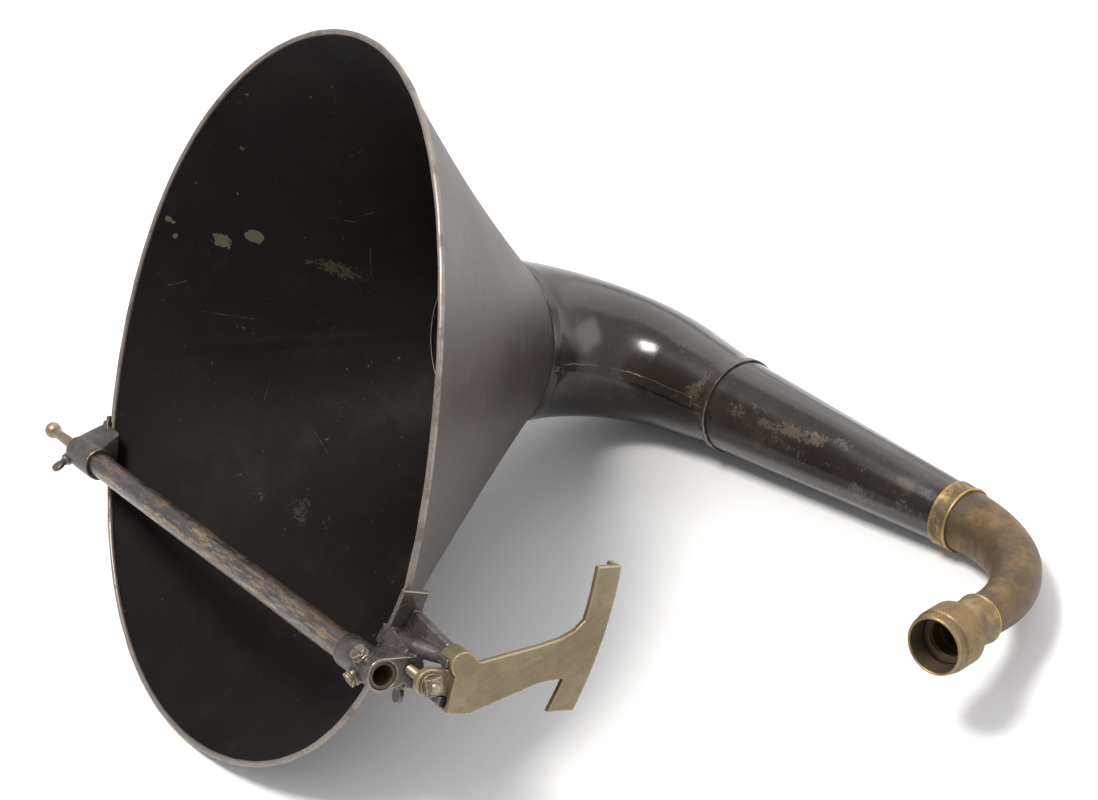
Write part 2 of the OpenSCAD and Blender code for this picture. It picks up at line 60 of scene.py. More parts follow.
MOUTH_R, SADDLE, WAVE, BEAD_R = 178.0, 4.8, 3.2, 1.6
THROAT_R, SAG, SHEET = 43.0, 3.0, 1.2
RIM_WALL = SHEET * 1.4
THROAT_POS = np.array([-32.0, -33.0, 138.5])
THROAT_TURN = (6.6, -8.6, -4.7)
NECK_R, NECK_BEND, TAPER_LEN = 68.0, 86.0, 192.0
JOINT_AT, JOINT_R, TAPER_END = 40.0, 24.3, 15.0
ELBOW_R, ELBOW_BEND, ELBOW_TWIST = 66.0, 82.0, 10.0
TAIL_R, TAIL_LEN, NUT_R, NUT_LEN, THREAD_R = 10.2, 46.0, 15.0, 18.0, 12.0
SPIGOT_IN, SPIGOT_OUT = 14.0, 6.0
YOKE_OFFSET, YOKE_FRONT, YOKE_ANGLE = 77.4, 14.0, 10.5
TUBE_R, TUBE_BORE, PIN_R = 6.35, 4.7, 3.0
REST_TIP, REST_TURN = -130.14, -0.62
NECK_ARC = math.radians(NECK_BEND) * NECK_R
NECK_LEN = NECK_ARC + JOINT_AT


def turn(axis, degrees):
    return Matrix.Rotation(math.radians(degrees), 4, axis)


def shift(x, y, z):
    return Matrix.Translation((x * MM, y * MM, z * MM))


def bend(radius, degrees):
    """Where the centre line of a bend has got to, in mm, bending towards X."""
    a = math.radians(degrees)
    return radius * (1 - math.cos(a)), 0.0, radius * math.sin(a)


TO_THROAT = shift(*THROAT_POS) @ turn("Z", THROAT_TURN[2]) @ turn("Y", THROAT_TURN[1]) \
    @ turn("X", THROAT_TURN[0])
NECK_X, _, NECK_Z = bend(NECK_R, NECK_BEND)
TO_TAPER = TO_THROAT @ shift(NECK_X, 0, NECK_Z + SPIGOT_OUT) @ turn("Y", NECK_BEND)
TO_ELBOW = TO_TAPER @ shift(0, 0, TAPER_LEN) @ turn("Z", ELBOW_TWIST)
TO_UNION = TO_ELBOW @ shift(*bend(ELBOW_R, ELBOW_BEND)) @ turn("Y", ELBOW_BEND)
TO_YOKE = turn("Z", -YOKE_ANGLE) @ shift(0, YOKE_OFFSET, -YOKE_FRONT)
LAID = turn("X", REST_TIP) @ turn("Z", REST_TURN)
REST = Matrix.Translation(-((LAID @ TO_UNION) @ Vector((0, 0, TAIL_LEN * MM)))) @ LAID
BELL, THROAT, TAPER = REST, REST @ TO_THROAT, REST @ TO_TAPER
ELBOW, UNION, YOKE = REST @ TO_ELBOW, REST @ TO_UNION, REST @ TO_YOKE


def lift(a):
    """How far the mouth stands out of flat: a saddle and a three-lobed wave."""
    return SADDLE * np.cos(2 * (a - math.radians(53))) + WAVE * np.cos(3 * (a - math.radians(31)))


THROAT_M = np.array([list(r) for r in TO_THROAT])


def throat_ring(a, r):
    """Points of a ring of radius r where the throat tube starts."""
    c = a - math.radians(THROAT_TURN[2])
    local = np.stack([r * np.cos(c), r * np.sin(c), 0 * a], -1)
    return local @ THROAT_M[:3, :3].T + THROAT_POS


def bell_surface(a, s, inset, dents):
    """The bell's wall at angle a, from s = 0 at the mouth to s = 1 at the throat."""
    mouth = np.stack([(MOUTH_R - inset) * np.cos(a), (MOUTH_R - inset) * np.sin(a), lift(a)], -1)
    throat = throat_ring(a, THROAT_R + 1.3 - inset * 0.6)
    out = np.stack([np.cos(a), np.sin(a), 0 * a], -1)
    sag = (SAG * 4 * s * (1 - s) + dents)[..., None]
    return mouth * (1 - s)[..., None] + throat * s[..., None] - sag * out


def neck_radius(u):
    """The throat tube's outer radius at u mm along its centre line."""
    return max(JOINT_R, THROAT_R + (JOINT_R - THROAT_R) * u / (NECK_LEN - 8))


# ---- node materials


class Mat:
    """Builds one procedural material, on the flow attribute or on object coordinates."""

    def __init__(self, name, coords="flow"):
        self.m = bpy.data.materials.new(name)
        self.m.use_nodes = True
        self.t = self.m.node_tree
        self.t.nodes.clear()
        self.bsdf = self.node("ShaderNodeBsdfPrincipled")
        self.t.links.new(self.bsdf.outputs[0], self.node("ShaderNodeOutputMaterial").inputs[0])
        if coords == "flow":
            self.co = self.attr("flow", "Vector")
        else:
            self.co = self.node("ShaderNodeTexCoord").outputs["Object"]

    def link(self, value, socket):
        if isinstance(value, bpy.types.NodeSocket):
            self.t.links.new(value, socket)
        elif isinstance(value, (tuple, list)) and len(socket.default_value) == 4:
            socket.default_value = (*value[:3], 1.0)
        else:
            socket.default_value = value

    def node(self, kind, vector=None, **inputs):
        """A new node with its Vector linked and other inputs set by name."""
        n = self.t.nodes.new(kind)
        if vector is not None:
            self.t.links.new(vector, n.inputs["Vector"])
        for key, value in inputs.items():
            n.inputs[key.replace("_", " ")].default_value = value
        return n

    def attr(self, name, output="Fac"):
        n = self.node("ShaderNodeAttribute")
        n.attribute_type = "GEOMETRY"
        n.attribute_name = name
        return n.outputs[output]

    def at(self, sx, sy, sz, rot=(0, 0, 0), move=(0, 0, 0)):
        turned = [math.radians(v) for v in rot]
        return self.node("ShaderNodeMapping", self.co, Scale=(sx, sy, sz), Rotation=turned,
                         Location=move).outputs[0]

    def spot(self, centre, radii, facing=(0, 0, 0)):
        """Distance from a place in mm, in units of the radii of an ellipsoid turned to facing."""
        local = self.node("ShaderNodeMapping", self.co, Location=[c * MM for c in centre],
                          Rotation=facing, Scale=[r * MM for r in radii])
        local.vector_type = "TEXTURE"
        n = self.node("ShaderNodeVectorMath", local.outputs[0])
        n.operation = "LENGTH"
        return n.outputs["Value"]

    def speckle(self, centre, radii, density, scale, seed):
        """Fine broken specks round a place, thinning out from its middle."""
        d = self.spot(centre, radii)
        grain = self.noise(scale, 5, 0.72, self.at(1, 1, 1, move=(seed, 0, seed)))
        broad = self.noise(scale * 0.2, 3, 0.6, self.at(1, 1, 1, move=(0, seed, 0)))
        level = self.math("SUBTRACT", self.add(grain, (broad, 0.5)), self.times(d, d, 0.17))
        return self.step(level, density + 0.25, density + 0.3)

    def axis(self, k):
        return self.node("ShaderNodeSeparateXYZ", self.co).outputs[k]

    def patch(self, centre, radii, ragged, scale, seed):
        """A ragged patch round a place: 1 inside, 0 outside."""
        edge = self.noise(scale, 4, 0.6, self.at(1, 1, 1, move=(seed, 0, 0)))
        d = self.add(self.spot(centre, radii), (self.math("SUBTRACT", edge, 0.5), ragged))
        return self.step(d, 0.94, 1.04, 1.0, 0.0)

    def noise(self, scale, detail, rough, vec=None, dist=0.0):
        return self.node("ShaderNodeTexNoise", vec or self.co, Scale=scale, Detail=detail,
                         Roughness=rough, Distortion=dist).outputs["Fac"]

    def cells(self, scale):
        return self.node("ShaderNodeTexVoronoi", self.co, Scale=scale).outputs["Distance"]

    def step(self, value, low, high, a=0.0, b=1.0):
        """Goes smoothly from a to b as the value goes from low to high."""
        n = self.node("ShaderNodeMapRange", From_Min=low, From_Max=high, To_Min=a, To_Max=b)
        n.interpolation_type = "SMOOTHSTEP"
        self.t.links.new(value, n.inputs["Value"])
        return n.outputs[0]

    def math(self, op, a, b=0.0):
        n = self.node("ShaderNodeMath")
        n.operation = op
        self.link(a, n.inputs[0])
        self.link(b, n.inputs[1])
        return n.outputs[0]

    def add(self, *values):
        """The sum of values; a pair stands for a value and its weight."""
        parts = [self.times(*v) if isinstance(v, tuple) else v for v in values]
        total = parts[0]
        for v in parts[1:]:
            total = self.math("ADD", total, v)
        return total

    def times(self, *values):
        total = values[0]
        for v in values[1:]:
            total = self.math("MULTIPLY", total, v)
        return total

    def mix(self, fac, a, b, kind="RGBA", first=6, result=2):
        n = self.node("ShaderNodeMix")
        n.data_type = kind
        for value, k in ((fac, 0), (a, first), (b, first + 1)):
            self.link(value, n.inputs[k])
        return n.outputs[result]

    def blend(self, fac, a, b):
        """The mix of two plain values."""
        return self.mix(fac, a, b, "FLOAT", 2, 0)

    def over(self, base, mask, amount, colour):
        """Lays a colour over the base where the mask is, by an amount."""
        return self.mix(self.times(mask, amount), base, colour)

    def lines(self, scale, stretch, width, rot=(0, 0, 0)):
        """Thin wandering scratches: a narrow band of a stretched noise."""
        v = self.at(*stretch, rot=rot)
        f = self.noise(scale, 1, 0.5, v, 0.3)
        d = self.math("ABSOLUTE", self.math("SUBTRACT", f, 0.5))
        return self.step(d, 0.0, width, 1.0, 0.0)

    def finish(self, color, rough, metal, height, depth, coat=0.0, spec=0.5):
        i = self.bsdf.inputs
        self.link(color, i["Base Color"])
        self.link(rough, i["Roughness"])
        self.link(metal, i["Metallic"])
        i["Coat Weight"].default_value = coat
        i["Coat Roughness"].default_value = 0.12
        i["Specular IOR Level"].default_value = spec
        n = self.node("ShaderNodeBump", Strength=1.0, Distance=depth)
        self.t.links.new(height, n.inputs["Height"])
        self.t.links.new(n.outputs[0], i["Normal"])
        return self.m


def lacquer_outside():
    """Thin brown-black lacquer on spun sheet: faint rings from the spinning, handling marks."""
    m = Mat("bell_outside")
    cloud = m.noise(8, 4, 0.6)
    rings = m.noise(60, 3, 0.6, m.at(0.2, 0.2, 6))
    fine = m.noise(300, 3, 0.65, m.at(0.12, 0.12, 5))
    streak = m.noise(120, 4, 0.7, m.at(0.15, 0.15, 2.2))
    marks = m.lines(30, (1, 1, 9), 0.005)
    specks = m.step(m.noise(420, 2, 0.5), 0.69, 0.75)
    rub = m.step(m.noise(24, 5, 0.65), 0.56, 0.72)
    base = m.mix(m.step(cloud, 0.3, 0.72), (0.032, 0.025, 0.0205), (0.062, 0.05, 0.0425))
    base = m.over(base, m.step(rings, 0.45, 0.75), 0.25, (0.10, 0.083, 0.072))
    base = m.over(base, m.step(fine, 0.5, 0.8), 0.3, (0.16, 0.137, 0.12))
    base = m.over(base, m.step(streak, 0.55, 0.72), 0.18, (0.012, 0.0095, 0.008))
    base = m.over(base, rub, 0.35, (0.095, 0.07, 0.055))
    base = m.over(base, marks, 0.2, (0.2, 0.175, 0.155))
    base = m.over(base, specks, 0.4, (0.24, 0.22, 0.19))
    rough = m.blend(m.step(cloud, 0.35, 0.7), 0.36, 0.44)
    rough = m.math("ADD", rough, m.times(fine, 0.1))
    height = m.add((rings, 0.3), (fine, 0.2), (cloud, 1.4), (marks, -0.2))
    return m.finish(base, rough, m.blend(rings, 0.3, 0.45), height, 0.0003)


def wall_place(degrees, s):
    """A place on the bell's inside, by its angle and its height between mouth and throat."""
    a = math.radians(degrees)
    return bell_surface(np.array(a), np.array(s), RIM_WALL, np.array(0.0))


def wall_facing(degrees, s, slant):
    """The turn of a frame on the bell's wall: Z off the wall, X along it at a slant to its rim."""
    p = wall_place(degrees, s)
    across = Vector(wall_place(degrees + 0.5, s) - p).normalized()
    inward = Vector(wall_place(degrees, s + 0.01) - p).normalized()
    off = across.cross(inward).normalized()
    side = Vector(Matrix.Rotation(math.radians(slant), 3, off) @ across)
    return list(Matrix((side, off.cross(side), off)).transposed().to_euler())


# Marks inside the bell, each at an angle and a height; first the scratches, with their slant
# to the rim in degrees and their length and width in mm
SCRATCHES = [(205, 0.55, 62, 9, 0.35), (212, 0.60, 30, 13, 0.22), (196, 0.68, -25, 15, 0.2),
             (250, 0.30, 75, 5, 0.4), (262, 0.45, 20, 8, 0.25), (238, 0.22, -35, 6, 0.22),
             (285, 0.35, -50, 11, 0.2), (228, 0.42, 5, 9, 0.3), (170, 0.30, 84, 20, 0.2),
             (176, 0.12, 60, 8, 0.3), (150, 0.45, 15, 7, 0.2), (128, 0.6, -20, 10, 0.2),
             (64, 0.3, 40, 9, 0.22), (35, 0.5, -10, 12, 0.2), (330, 0.4, 25, 10, 0.2)]
# Chips: radii in mm, raggedness, noise scale, seed
CHIPS = [(189.9, 0.31, (20, 3.6, 4.4), 1.5, 190, 1.0),
         (186.8, 0.219, (20, 3.4, 3.6), 3.2, 330, 2.0),
         (188.0, 0.041, (8, 1.6, 1.8), 3.0, 330, 3.0),
         (185.3, 0.072, (8, 1.3, 1.4), 3.4, 330, 4.0),
         (12.0, 0.55, (20, 3.0, 3.4), 2.4, 250, 6.0)]
# Scuffs: radii in mm, density, noise scale, seed
WALL_SCUFFS = [(110.5, 0.5, (13, 26, 7), 0.51, 480, 9.0),
               (101.0, 0.552, (5, 16, 3.4), 0.46, 520, 10.0),
               (122.0, 0.41, (6, 16, 4), 0.51, 480, 11.0),
               (213.0, 0.46, (14, 5, 6), 0.55, 520, 8.0),
               (246.0, 0.37, (7, 10, 4), 0.55, 480, 12.0),
               (300.0, 0.4, (12, 20, 8), 0.55, 480, 13.0)]


def lacquer_inside():
    """Dull black inside with faint dust, a few chips down to an olive ground, hair scratches."""
    m = Mat("bell_inside")
    cloud = m.noise(11, 5, 0.6)
    dust = m.noise(34, 5, 0.65)
    grit = m.step(m.noise(520, 2, 0.5), 0.71, 0.76)
    tiny = m.step(m.noise(210, 3, 0.5), 0.725, 0.745)
    hair = m.add(*[m.step(m.spot(wall_place(q, h), (long, wide, 9), wall_facing(q, h, slant)),
                          0.6, 1.1, 1.0, 0.0) for q, h, slant, long, wide in SCRATCHES])
    hair = m.times(m.math("MINIMUM", hair, 1.0), m.step(m.noise(240, 3, 0.6), 0.42, 0.6))
    chips = m.add(*[m.patch(wall_place(q, h), *rest) for q, h, *rest in CHIPS])
    worn = m.speckle(wall_place(187.3, 0.6), (30, 4.4, 15.5), 0.40, 640, 7.0)
    scuffs = m.add(*[m.speckle(wall_place(q, h), *rest) for q, h, *rest in WALL_SCUFFS])
    scuffs = m.math("MINIMUM", scuffs, 1.0)
    base = m.mix(m.step(cloud, 0.3, 0.7), (0.0054, 0.0043, 0.0037), (0.0088, 0.007, 0.006))
    base = m.over(base, m.step(dust, 0.5, 0.8), 0.35, (0.022, 0.0185, 0.016))
    base = m.over(base, hair, 0.5, (0.10, 0.086, 0.072))
    base = m.over(base, scuffs, 0.4, (0.07, 0.055, 0.045))
    base = m.over(base, worn, 0.6, (0.058, 0.05, 0.034))
    base = m.over(base, chips, 0.95, (0.082, 0.076, 0.05))
    base = m.over(base, tiny, 0.5, (0.10, 0.088, 0.066))
    base = m.over(base, grit, 0.25, (0.08, 0.07, 0.058))
    rough = m.blend(m.step(dust, 0.4, 0.7), 0.5, 0.64)
    height = m.add((cloud, 0.9), (dust, 0.3), (chips, -0.35), (worn, -0.2), (grit, 0.2))
    return m.finish(base, rough, 0.0, height, 0.0003, spec=0.07)


def bare_rim():
    """The rolled bead, worn to dull grey-brown metal with thin remains of lacquer."""
    m = Mat("rim_worn")
    cloud = m.noise(24, 4, 0.6)
    grain = m.noise(320, 3, 0.6, m.at(0.3, 0.3, 3))
    left = m.step(m.add(m.noise(60, 4, 0.65), (cloud, 0.3)), 0.66, 0.80)
    scratch = m.lines(70, (1, 1, 1), 0.012)
    base = m.mix(cloud, (0.185, 0.155, 0.135), (0.29, 0.255, 0.228))
    base = m.over(base, m.step(grain, 0.45, 0.75), 0.35, (0.36, 0.32, 0.285))
    base = m.over(base, left, 0.7, (0.075, 0.062, 0.054))
    base = m.over(base, scratch, 0.3, (0.42, 0.38, 0.335))
    rough = m.blend(left, m.blend(grain, 0.34, 0.48), 0.5)
    height = m.add(grain, (left, 0.5), (cloud, 1.2))
    return m.finish(base, rough, m.blend(left, 0.65, 0.2), height, 0.0001)


def gloss_lacquer(name, wear_level, tone=(0.0165, 0.0132, 0.0113), under=(0.12, 0.084, 0.06),
                  marks=0.14, place_at=None, scuffs=()):
    """Black-brown lacquer, satin where it's whole, rubbed brown and bare where hands held it."""
    m = Mat(name)
    wear = m.attr("wear")
    cloud = m.noise(14, 5, 0.62)
    tint = m.noise(7, 3, 0.6)
    worn_noise = m.noise(46, 7, 0.74, m.at(1.25, 1.25, 0.75))
    fine = m.noise(420, 4, 0.7)
    level = m.add(worn_noise, (wear, 0.36), (cloud, 0.18))
    worn = m.times(m.step(level, wear_level, wear_level + 0.05), m.step(fine, 0.36, 0.5))
    thin = m.step(level, wear_level - 0.13, wear_level + 0.02)
    scratch = m.times(m.lines(60, (1, 1, 3), 0.006), m.step(cloud, 0.5, 0.62))
    crossing = m.times(m.lines(48, (4, 3, 1), 0.005, (35, 15, 50)), m.step(tint, 0.5, 0.6))
    specks = m.step(m.noise(330, 2, 0.5), 0.69, 0.74)
    base = m.mix(m.step(cloud, 0.35, 0.7), tone, tuple(1.9 * c for c in tone))
    base = m.over(base, m.step(tint, 0.42, 0.62), 0.5, (0.042, 0.031, 0.024))
    base = m.over(base, thin, 0.6, (0.062, 0.046, 0.034))
    base = m.over(base, m.add(scratch, crossing), marks, (0.22, 0.19, 0.165))
    base = m.over(base, specks, 0.3, (0.17, 0.145, 0.12))
    bare = m.mix(m.step(m.noise(170, 4, 0.7), 0.4, 0.6), under, tuple(1.9 * c for c in under))
    base = m.over(base, worn, 0.88, bare)
    rubbed = worn
    # Each patch lays its colour over the lacquer and counts as rubbed for roughness and bumps; the
    # throat tube's list holds one painted sheen among its scuffs
    for k, (degrees, along, radii, density, colour, amount) in enumerate(scuffs):
        spot = place_at(degrees, along)
        mask = m.times(m.speckle(spot, radii, density, 700, 20.0 + k), amount)
        base = m.mix(mask, base, colour)
        rubbed = m.math("MAXIMUM", rubbed, mask)
    # Painted highlight: where the wear passes 1 (the spigot's lip inside the bell, the crest of the
    # joint band) a pale grey line is painted along the edge, standing in for the light it catches
    base = m.mix(m.step(wear, 1.0, 1.2), base, (0.34, 0.31, 0.275))
    rough = m.blend(rubbed, m.blend(thin, m.blend(m.step(cloud, 0.4, 0.65), 0.2, 0.3), 0.38), 0.5)
    height = m.add((rubbed, -0.4), (fine, 0.1), (thin, -0.15), (cloud, 2.0))
    return m.finish(base, rough, m.blend(worn, 0.1, 0.5), height, 0.0002, coat=0.2)


def old_brass(name, light, dark, patina, cover, rough, grain=(0.3, 0.3, 5), coords="flow",
              soft=0.22, outer=None):
    """Brass that has browned with age: bright on edges, dark in hollows, fine turned grain."""
    m = Mat(name, coords)
    wear = m.attr("wear")
    cloud = m.noise(45, 6, 0.62)
    mott = m.noise(130, 5, 0.65, dist=0.4)
    fine = m.noise(420, 3, 0.6, m.at(*grain))
    dirt = m.step(m.math("SUBTRACT", m.add(cloud, (mott, 0.45)), m.times(wear, 0.45)),
                  cover + 0.12, cover + 0.12 + soft)
    scratch = m.lines(110, (1, 1, 2), 0.012, rot=(30, 40, 0))
    pits = m.step(m.noise(620, 2, 0.5), 0.68, 0.74)
    base = m.mix(m.step(mott, 0.35, 0.7), light, dark)
    base = m.over(base, m.step(fine, 0.4, 0.75), 0.35, light)
    base = m.over(base, dirt, 0.85, patina)
    base = m.over(base, wear, 0.7, tuple(min(1, 1.35 * c) for c in light))
    base = m.over(base, scratch, 0.35, tuple(min(1, 1.5 * c) for c in light))
    base = m.over(base, pits, 0.5, tuple(0.5 * c for c in patina))
    if outer:
        rim = m.step(m.add(m.axis(0), (mott, 0.008)), -0.001, -0.009, 0.0, 0.7)
        base = m.mix(rim, base, outer)
    r = m.blend(dirt, m.math("ADD", m.times(fine, 0.14), rough), rough + 0.22)
    height = m.add((fine, 0.4), (mott, 0.6), (dirt, 0.25), (pits, -0.6), (scratch, -0.2))
    return m.finish(base, r, m.blend(dirt, 0.88, 0.45), height, 0.0001)


def worn_tube():
    """Black paint on a brass tube, rubbed to copper and gold streaks along its length."""
    m = Mat("tube_worn_paint")
    along = m.at(1, 1, 0.13)
    streak = m.noise(560, 6, 0.75, along, 0.4)
    patch = m.noise(30, 5, 0.65)
    fine = m.noise(900, 3, 0.6, m.at(1, 1, 0.1))
    thin = m.step(m.add((streak, 0.7), (patch, 0.55)), 0.56, 0.66)
    bare = m.step(m.add((streak, 0.8), (patch, 0.42)), 0.62, 0.675)
    copper = m.mix(m.step(m.noise(70, 4, 0.6, along), 0.4, 0.6), (0.24, 0.14, 0.085),
                   (0.36, 0.26, 0.14))
    base = m.mix(patch, (0.018, 0.0155, 0.016), (0.045, 0.04, 0.042))
    base = m.over(base, thin, 0.7, (0.115, 0.085, 0.072))
    base = m.mix(bare, base, copper)
    base = m.over(base, m.step(fine, 0.62, 0.72), 0.35, (0.33, 0.30, 0.27))
    rough = m.blend(bare, m.blend(thin, 0.26, 0.42), 0.3)
    height = m.add((bare, -0.8), (thin, -0.3), (fine, 0.3))
    return m.finish(base, rough, m.blend(bare, m.blend(thin, 0.15, 0.4), 0.85), height, 0.00009,
                    coat=0.15)


def grey_casting():
    """Cast fittings: sandy skin, dark paint left in hollows, brassy metal on edges."""
    m = Mat("casting")
    wear = m.attr("wear")
    cloud = m.noise(60, 5, 0.6)
    sand = m.noise(1100, 3, 0.6)
    grit = m.cells(900)
    smear = m.noise(170, 4, 0.65, m.at(1, 1, 0.4))
    scratch = m.lines(150, (1, 1, 1), 0.02)
    shade = m.noise(28, 4, 0.6)
    base = m.mix(m.step(cloud, 0.3, 0.7), (0.05, 0.041, 0.038), (0.125, 0.108, 0.102))
    base = m.over(base, m.step(smear, 0.45, 0.72), 0.45, (0.19, 0.17, 0.162))
    base = m.over(base, m.step(shade, 0.46, 0.62), 0.6, (0.042, 0.032, 0.026))
    base = m.over(base, m.step(m.add(wear, (smear, 0.5)), 0.66, 1.02), 0.6, (0.33, 0.28, 0.22))
    base = m.over(base, scratch, 0.15, (0.42, 0.38, 0.33))
    base = m.over(base, m.step(grit, 0.0, 0.16, 1, 0), 0.4, (0.03, 0.026, 0.024))
    rough = m.blend(wear, m.blend(m.step(cloud, 0.4, 0.6), 0.36, 0.52), 0.3)
    height = m.add((sand, 0.5), (cloud, 1.2), (scratch, -0.3), (grit, 0.35))
    return m.finish(base, rough, m.blend(m.step(wear, 0.2, 0.7), 0.6, 0.85), height, 0.00014)


def bracket_metal():
    """Khaki brass plate: a dull even skin with rubbed edges, stains and small dents."""
    m = Mat("bracket_brass", "object")
    wear = m.attr("wear")
    cloud = m.noise(38, 5, 0.6)
    stain = m.noise(95, 6, 0.7, dist=0.6)
    fine = m.noise(800, 3, 0.6)
    brush = m.noise(520, 2, 0.6, m.at(1, 0.15, 1, rot=(40, 0, 25)))
    dark = m.step(m.add((stain, 0.8), (cloud, 0.3)), 0.64, 0.73)
    scratch = m.lines(90, (1, 1, 1), 0.007)
    pits = m.step(m.noise(520, 2, 0.5), 0.69, 0.75)
    base = m.mix(m.step(cloud, 0.3, 0.72), (0.150, 0.118, 0.070), (0.225, 0.182, 0.115))
    base = m.over(base, m.step(brush, 0.4, 0.75), 0.25, (0.27, 0.22, 0.14))
    base = m.over(base, dark, 0.55, (0.085, 0.058, 0.036))
    base = m.over(base, m.step(wear, 0.35, 0.95), 0.6, (0.42, 0.34, 0.205))
    base = m.over(base, scratch, 0.2, (0.38, 0.32, 0.22))
    base = m.over(base, pits, 0.5, (0.13, 0.10, 0.06))
    rough = m.blend(dark, m.blend(m.step(wear, 0.2, 0.7), m.math("ADD", m.times(fine, 0.1), 0.4),
                                  0.27), 0.55)
    height = m.add((fine, 0.25), (stain, 0.7), (brush, 0.2), (pits, -0.6), (scratch, -0.25))
    return m.finish(base, rough, m.blend(dark, 0.6, 0.3), height, 0.00012)


def leather_washer():
    """Dry brown leather."""
    m = Mat("gasket_leather", "object")
    cell = m.cells(2600)
    fine = m.noise(1500, 3, 0.6)
    base = m.mix(m.noise(300, 4, 0.6), (0.045, 0.026, 0.016), (0.11, 0.066, 0.038))
    return m.finish(base, m.blend(fine, 0.6, 0.8), 0.0, m.add(cell, (fine, 0.5)), 0.0001)


def taper_place(degrees, z):
    """A place on the tapered tube, by its angle and its distance along the tube."""
    a = math.radians(degrees)
    r = JOINT_R + (TAPER_END - JOINT_R) * (z - JOINT_AT) / (TAPER_LEN - JOINT_AT)
    return r * math.cos(a), r * math.sin(a), z


def neck_place(degrees, u):
    """A place on the throat tube in its own unrolled coordinates."""
    a, r = math.radians(degrees), neck_radius(u)
    return r * math.cos(a), r * math.sin(a), u


KHAKI, GREY_BROWN, PALE = (0.10, 0.07, 0.046), (0.098, 0.081, 0.068), (0.34, 0.31, 0.28)
# Scuffs on the tubes, with one painted sheen on the throat tube: angle, distance along, radii in
# mm, density, colour, amount
TAPER_SCUFFS = [(342, 58, (4.5, 4.5, 8), 0.5, KHAKI, 0.5), (330, 70, (3, 3, 9), 0.5, KHAKI, 0.5),
                (343, 79, (3.2, 3.2, 9), 0.46, KHAKI, 0.55),
                (337, 93, (3.6, 3.6, 12), 0.42, KHAKI, 0.62),
                (332, 107, (4, 4, 10), 0.42, KHAKI, 0.62), (319, 121, (3, 3, 9), 0.46, KHAKI, 0.5),
                (355, 96, (9, 9, 34), 0.56, KHAKI, 0.5),
                (22, 142, (6, 6, 9), 0.40, GREY_BROWN, 0.6),
                (4, 168, (5, 5, 7), 0.5, GREY_BROWN, 0.5), (4, 104, (5, 5, 6), 0.58, PALE, 0.5),
                (354, 124, (5, 5, 9), 0.58, PALE, 0.5), (342, 140, (3, 3, 7), 0.57, PALE, 0.5),
                (200, 90, (9, 9, 26), 0.49, KHAKI, 0.5),
                (110, 120, (8, 8, 20), 0.5, GREY_BROWN, 0.5)]
NECK_SCUFFS_AND_SHEEN = [(347, 132, (6, 6, 6), 0.44, (0.085, 0.066, 0.04), 0.6),
               (325, 134, (8, 8, 5), 0.5, KHAKI, 0.5),
               # Not a scuff: a painted sheen, a soft brown patch painted on the throat tube's upper
               # side where light falls
               (305, 112, (9, 9, 16), 0.56, (0.06, 0.044, 0.034), 0.5),
               (12, 70, (8, 8, 14), 0.58, GREY_BROWN, 0.4),
               (192, -14, (9, 6, 5), 0.34, (0.082, 0.076, 0.05), 0.9),
               (150, 120, (9, 9, 14), 0.5, KHAKI, 0.5)]


MATERIALS = {
    "bell_out": lacquer_outside(),
    "bell_in": lacquer_inside(),
    "rim": bare_rim(),
    "neck": gloss_lacquer("neck_lacquer", 0.85, marks=0.08, place_at=neck_place,
                          scuffs=NECK_SCUFFS_AND_SHEEN),
    "strip": gloss_lacquer("seam_lacquer", 0.82, marks=0.1),
    "taper": gloss_lacquer("taper_lacquer", 0.80, (0.0155, 0.0128, 0.0112), (0.095, 0.071, 0.052),
                           0.2, taper_place, TAPER_SCUFFS),
    "ring": gloss_lacquer("ring_lacquer", 0.80, (0.022, 0.0175, 0.0145), (0.15, 0.118, 0.09)),
    "ferrule": old_brass("ferrule_brass", (0.37, 0.255, 0.105), (0.18, 0.122, 0.055),
                         (0.045, 0.031, 0.02), 0.38, 0.36),
    "elbow": old_brass("elbow_brass", (0.19, 0.125, 0.058), (0.10, 0.066, 0.035),
                       (0.052, 0.035, 0.025), 0.34, 0.4, (0.35, 0.35, 3), soft=0.4,
                       outer=(0.078, 0.052, 0.045)),
    "sleeve": old_brass("sleeve_brass", (0.29, 0.205, 0.096), (0.17, 0.118, 0.06),
                        (0.07, 0.048, 0.028), 0.42, 0.36),
    "nut": old_brass("nut_brass", (0.245, 0.172, 0.088), (0.15, 0.106, 0.058),
                     (0.075, 0.053, 0.033), 0.42, 0.38, soft=0.3),
    "bore": old_brass("bore_brass", (0.10, 0.07, 0.042), (0.06, 0.042, 0.027),
                      (0.03, 0.021, 0.015), 0.36, 0.45),
    "screw": old_brass("screw_brass", (0.33, 0.275, 0.19), (0.19, 0.155, 0.11),
                       (0.07, 0.052, 0.038), 0.44, 0.36, coords="object"),
    "pin": old_brass("pin_brass", (0.31, 0.245, 0.17), (0.18, 0.14, 0.098),
                     (0.075, 0.056, 0.042), 0.44, 0.36),
    "tube": worn_tube(),
    "casting": grey_casting(),
    "bracket": bracket_metal(),
    "leather": leather_washer(),
}

# ---- mesh builders


def near(x, at, width):
    """A bell curve: 1 at a value, falling to 0 within about twice the width."""
    return math.exp(-((x - at) / width) ** 2)


def joined(rows):
    return [p for row in rows for p in row]


def add_object(name, data):
    obj = bpy.data.objects.new(name, data)
    bpy.context.scene.collection.objects.link(obj)
    return obj


def place(obj, node, body):
    """Puts a piece in a CAD node's place: hides the node and puts the piece on its body."""
    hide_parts(node)
    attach(obj, body)


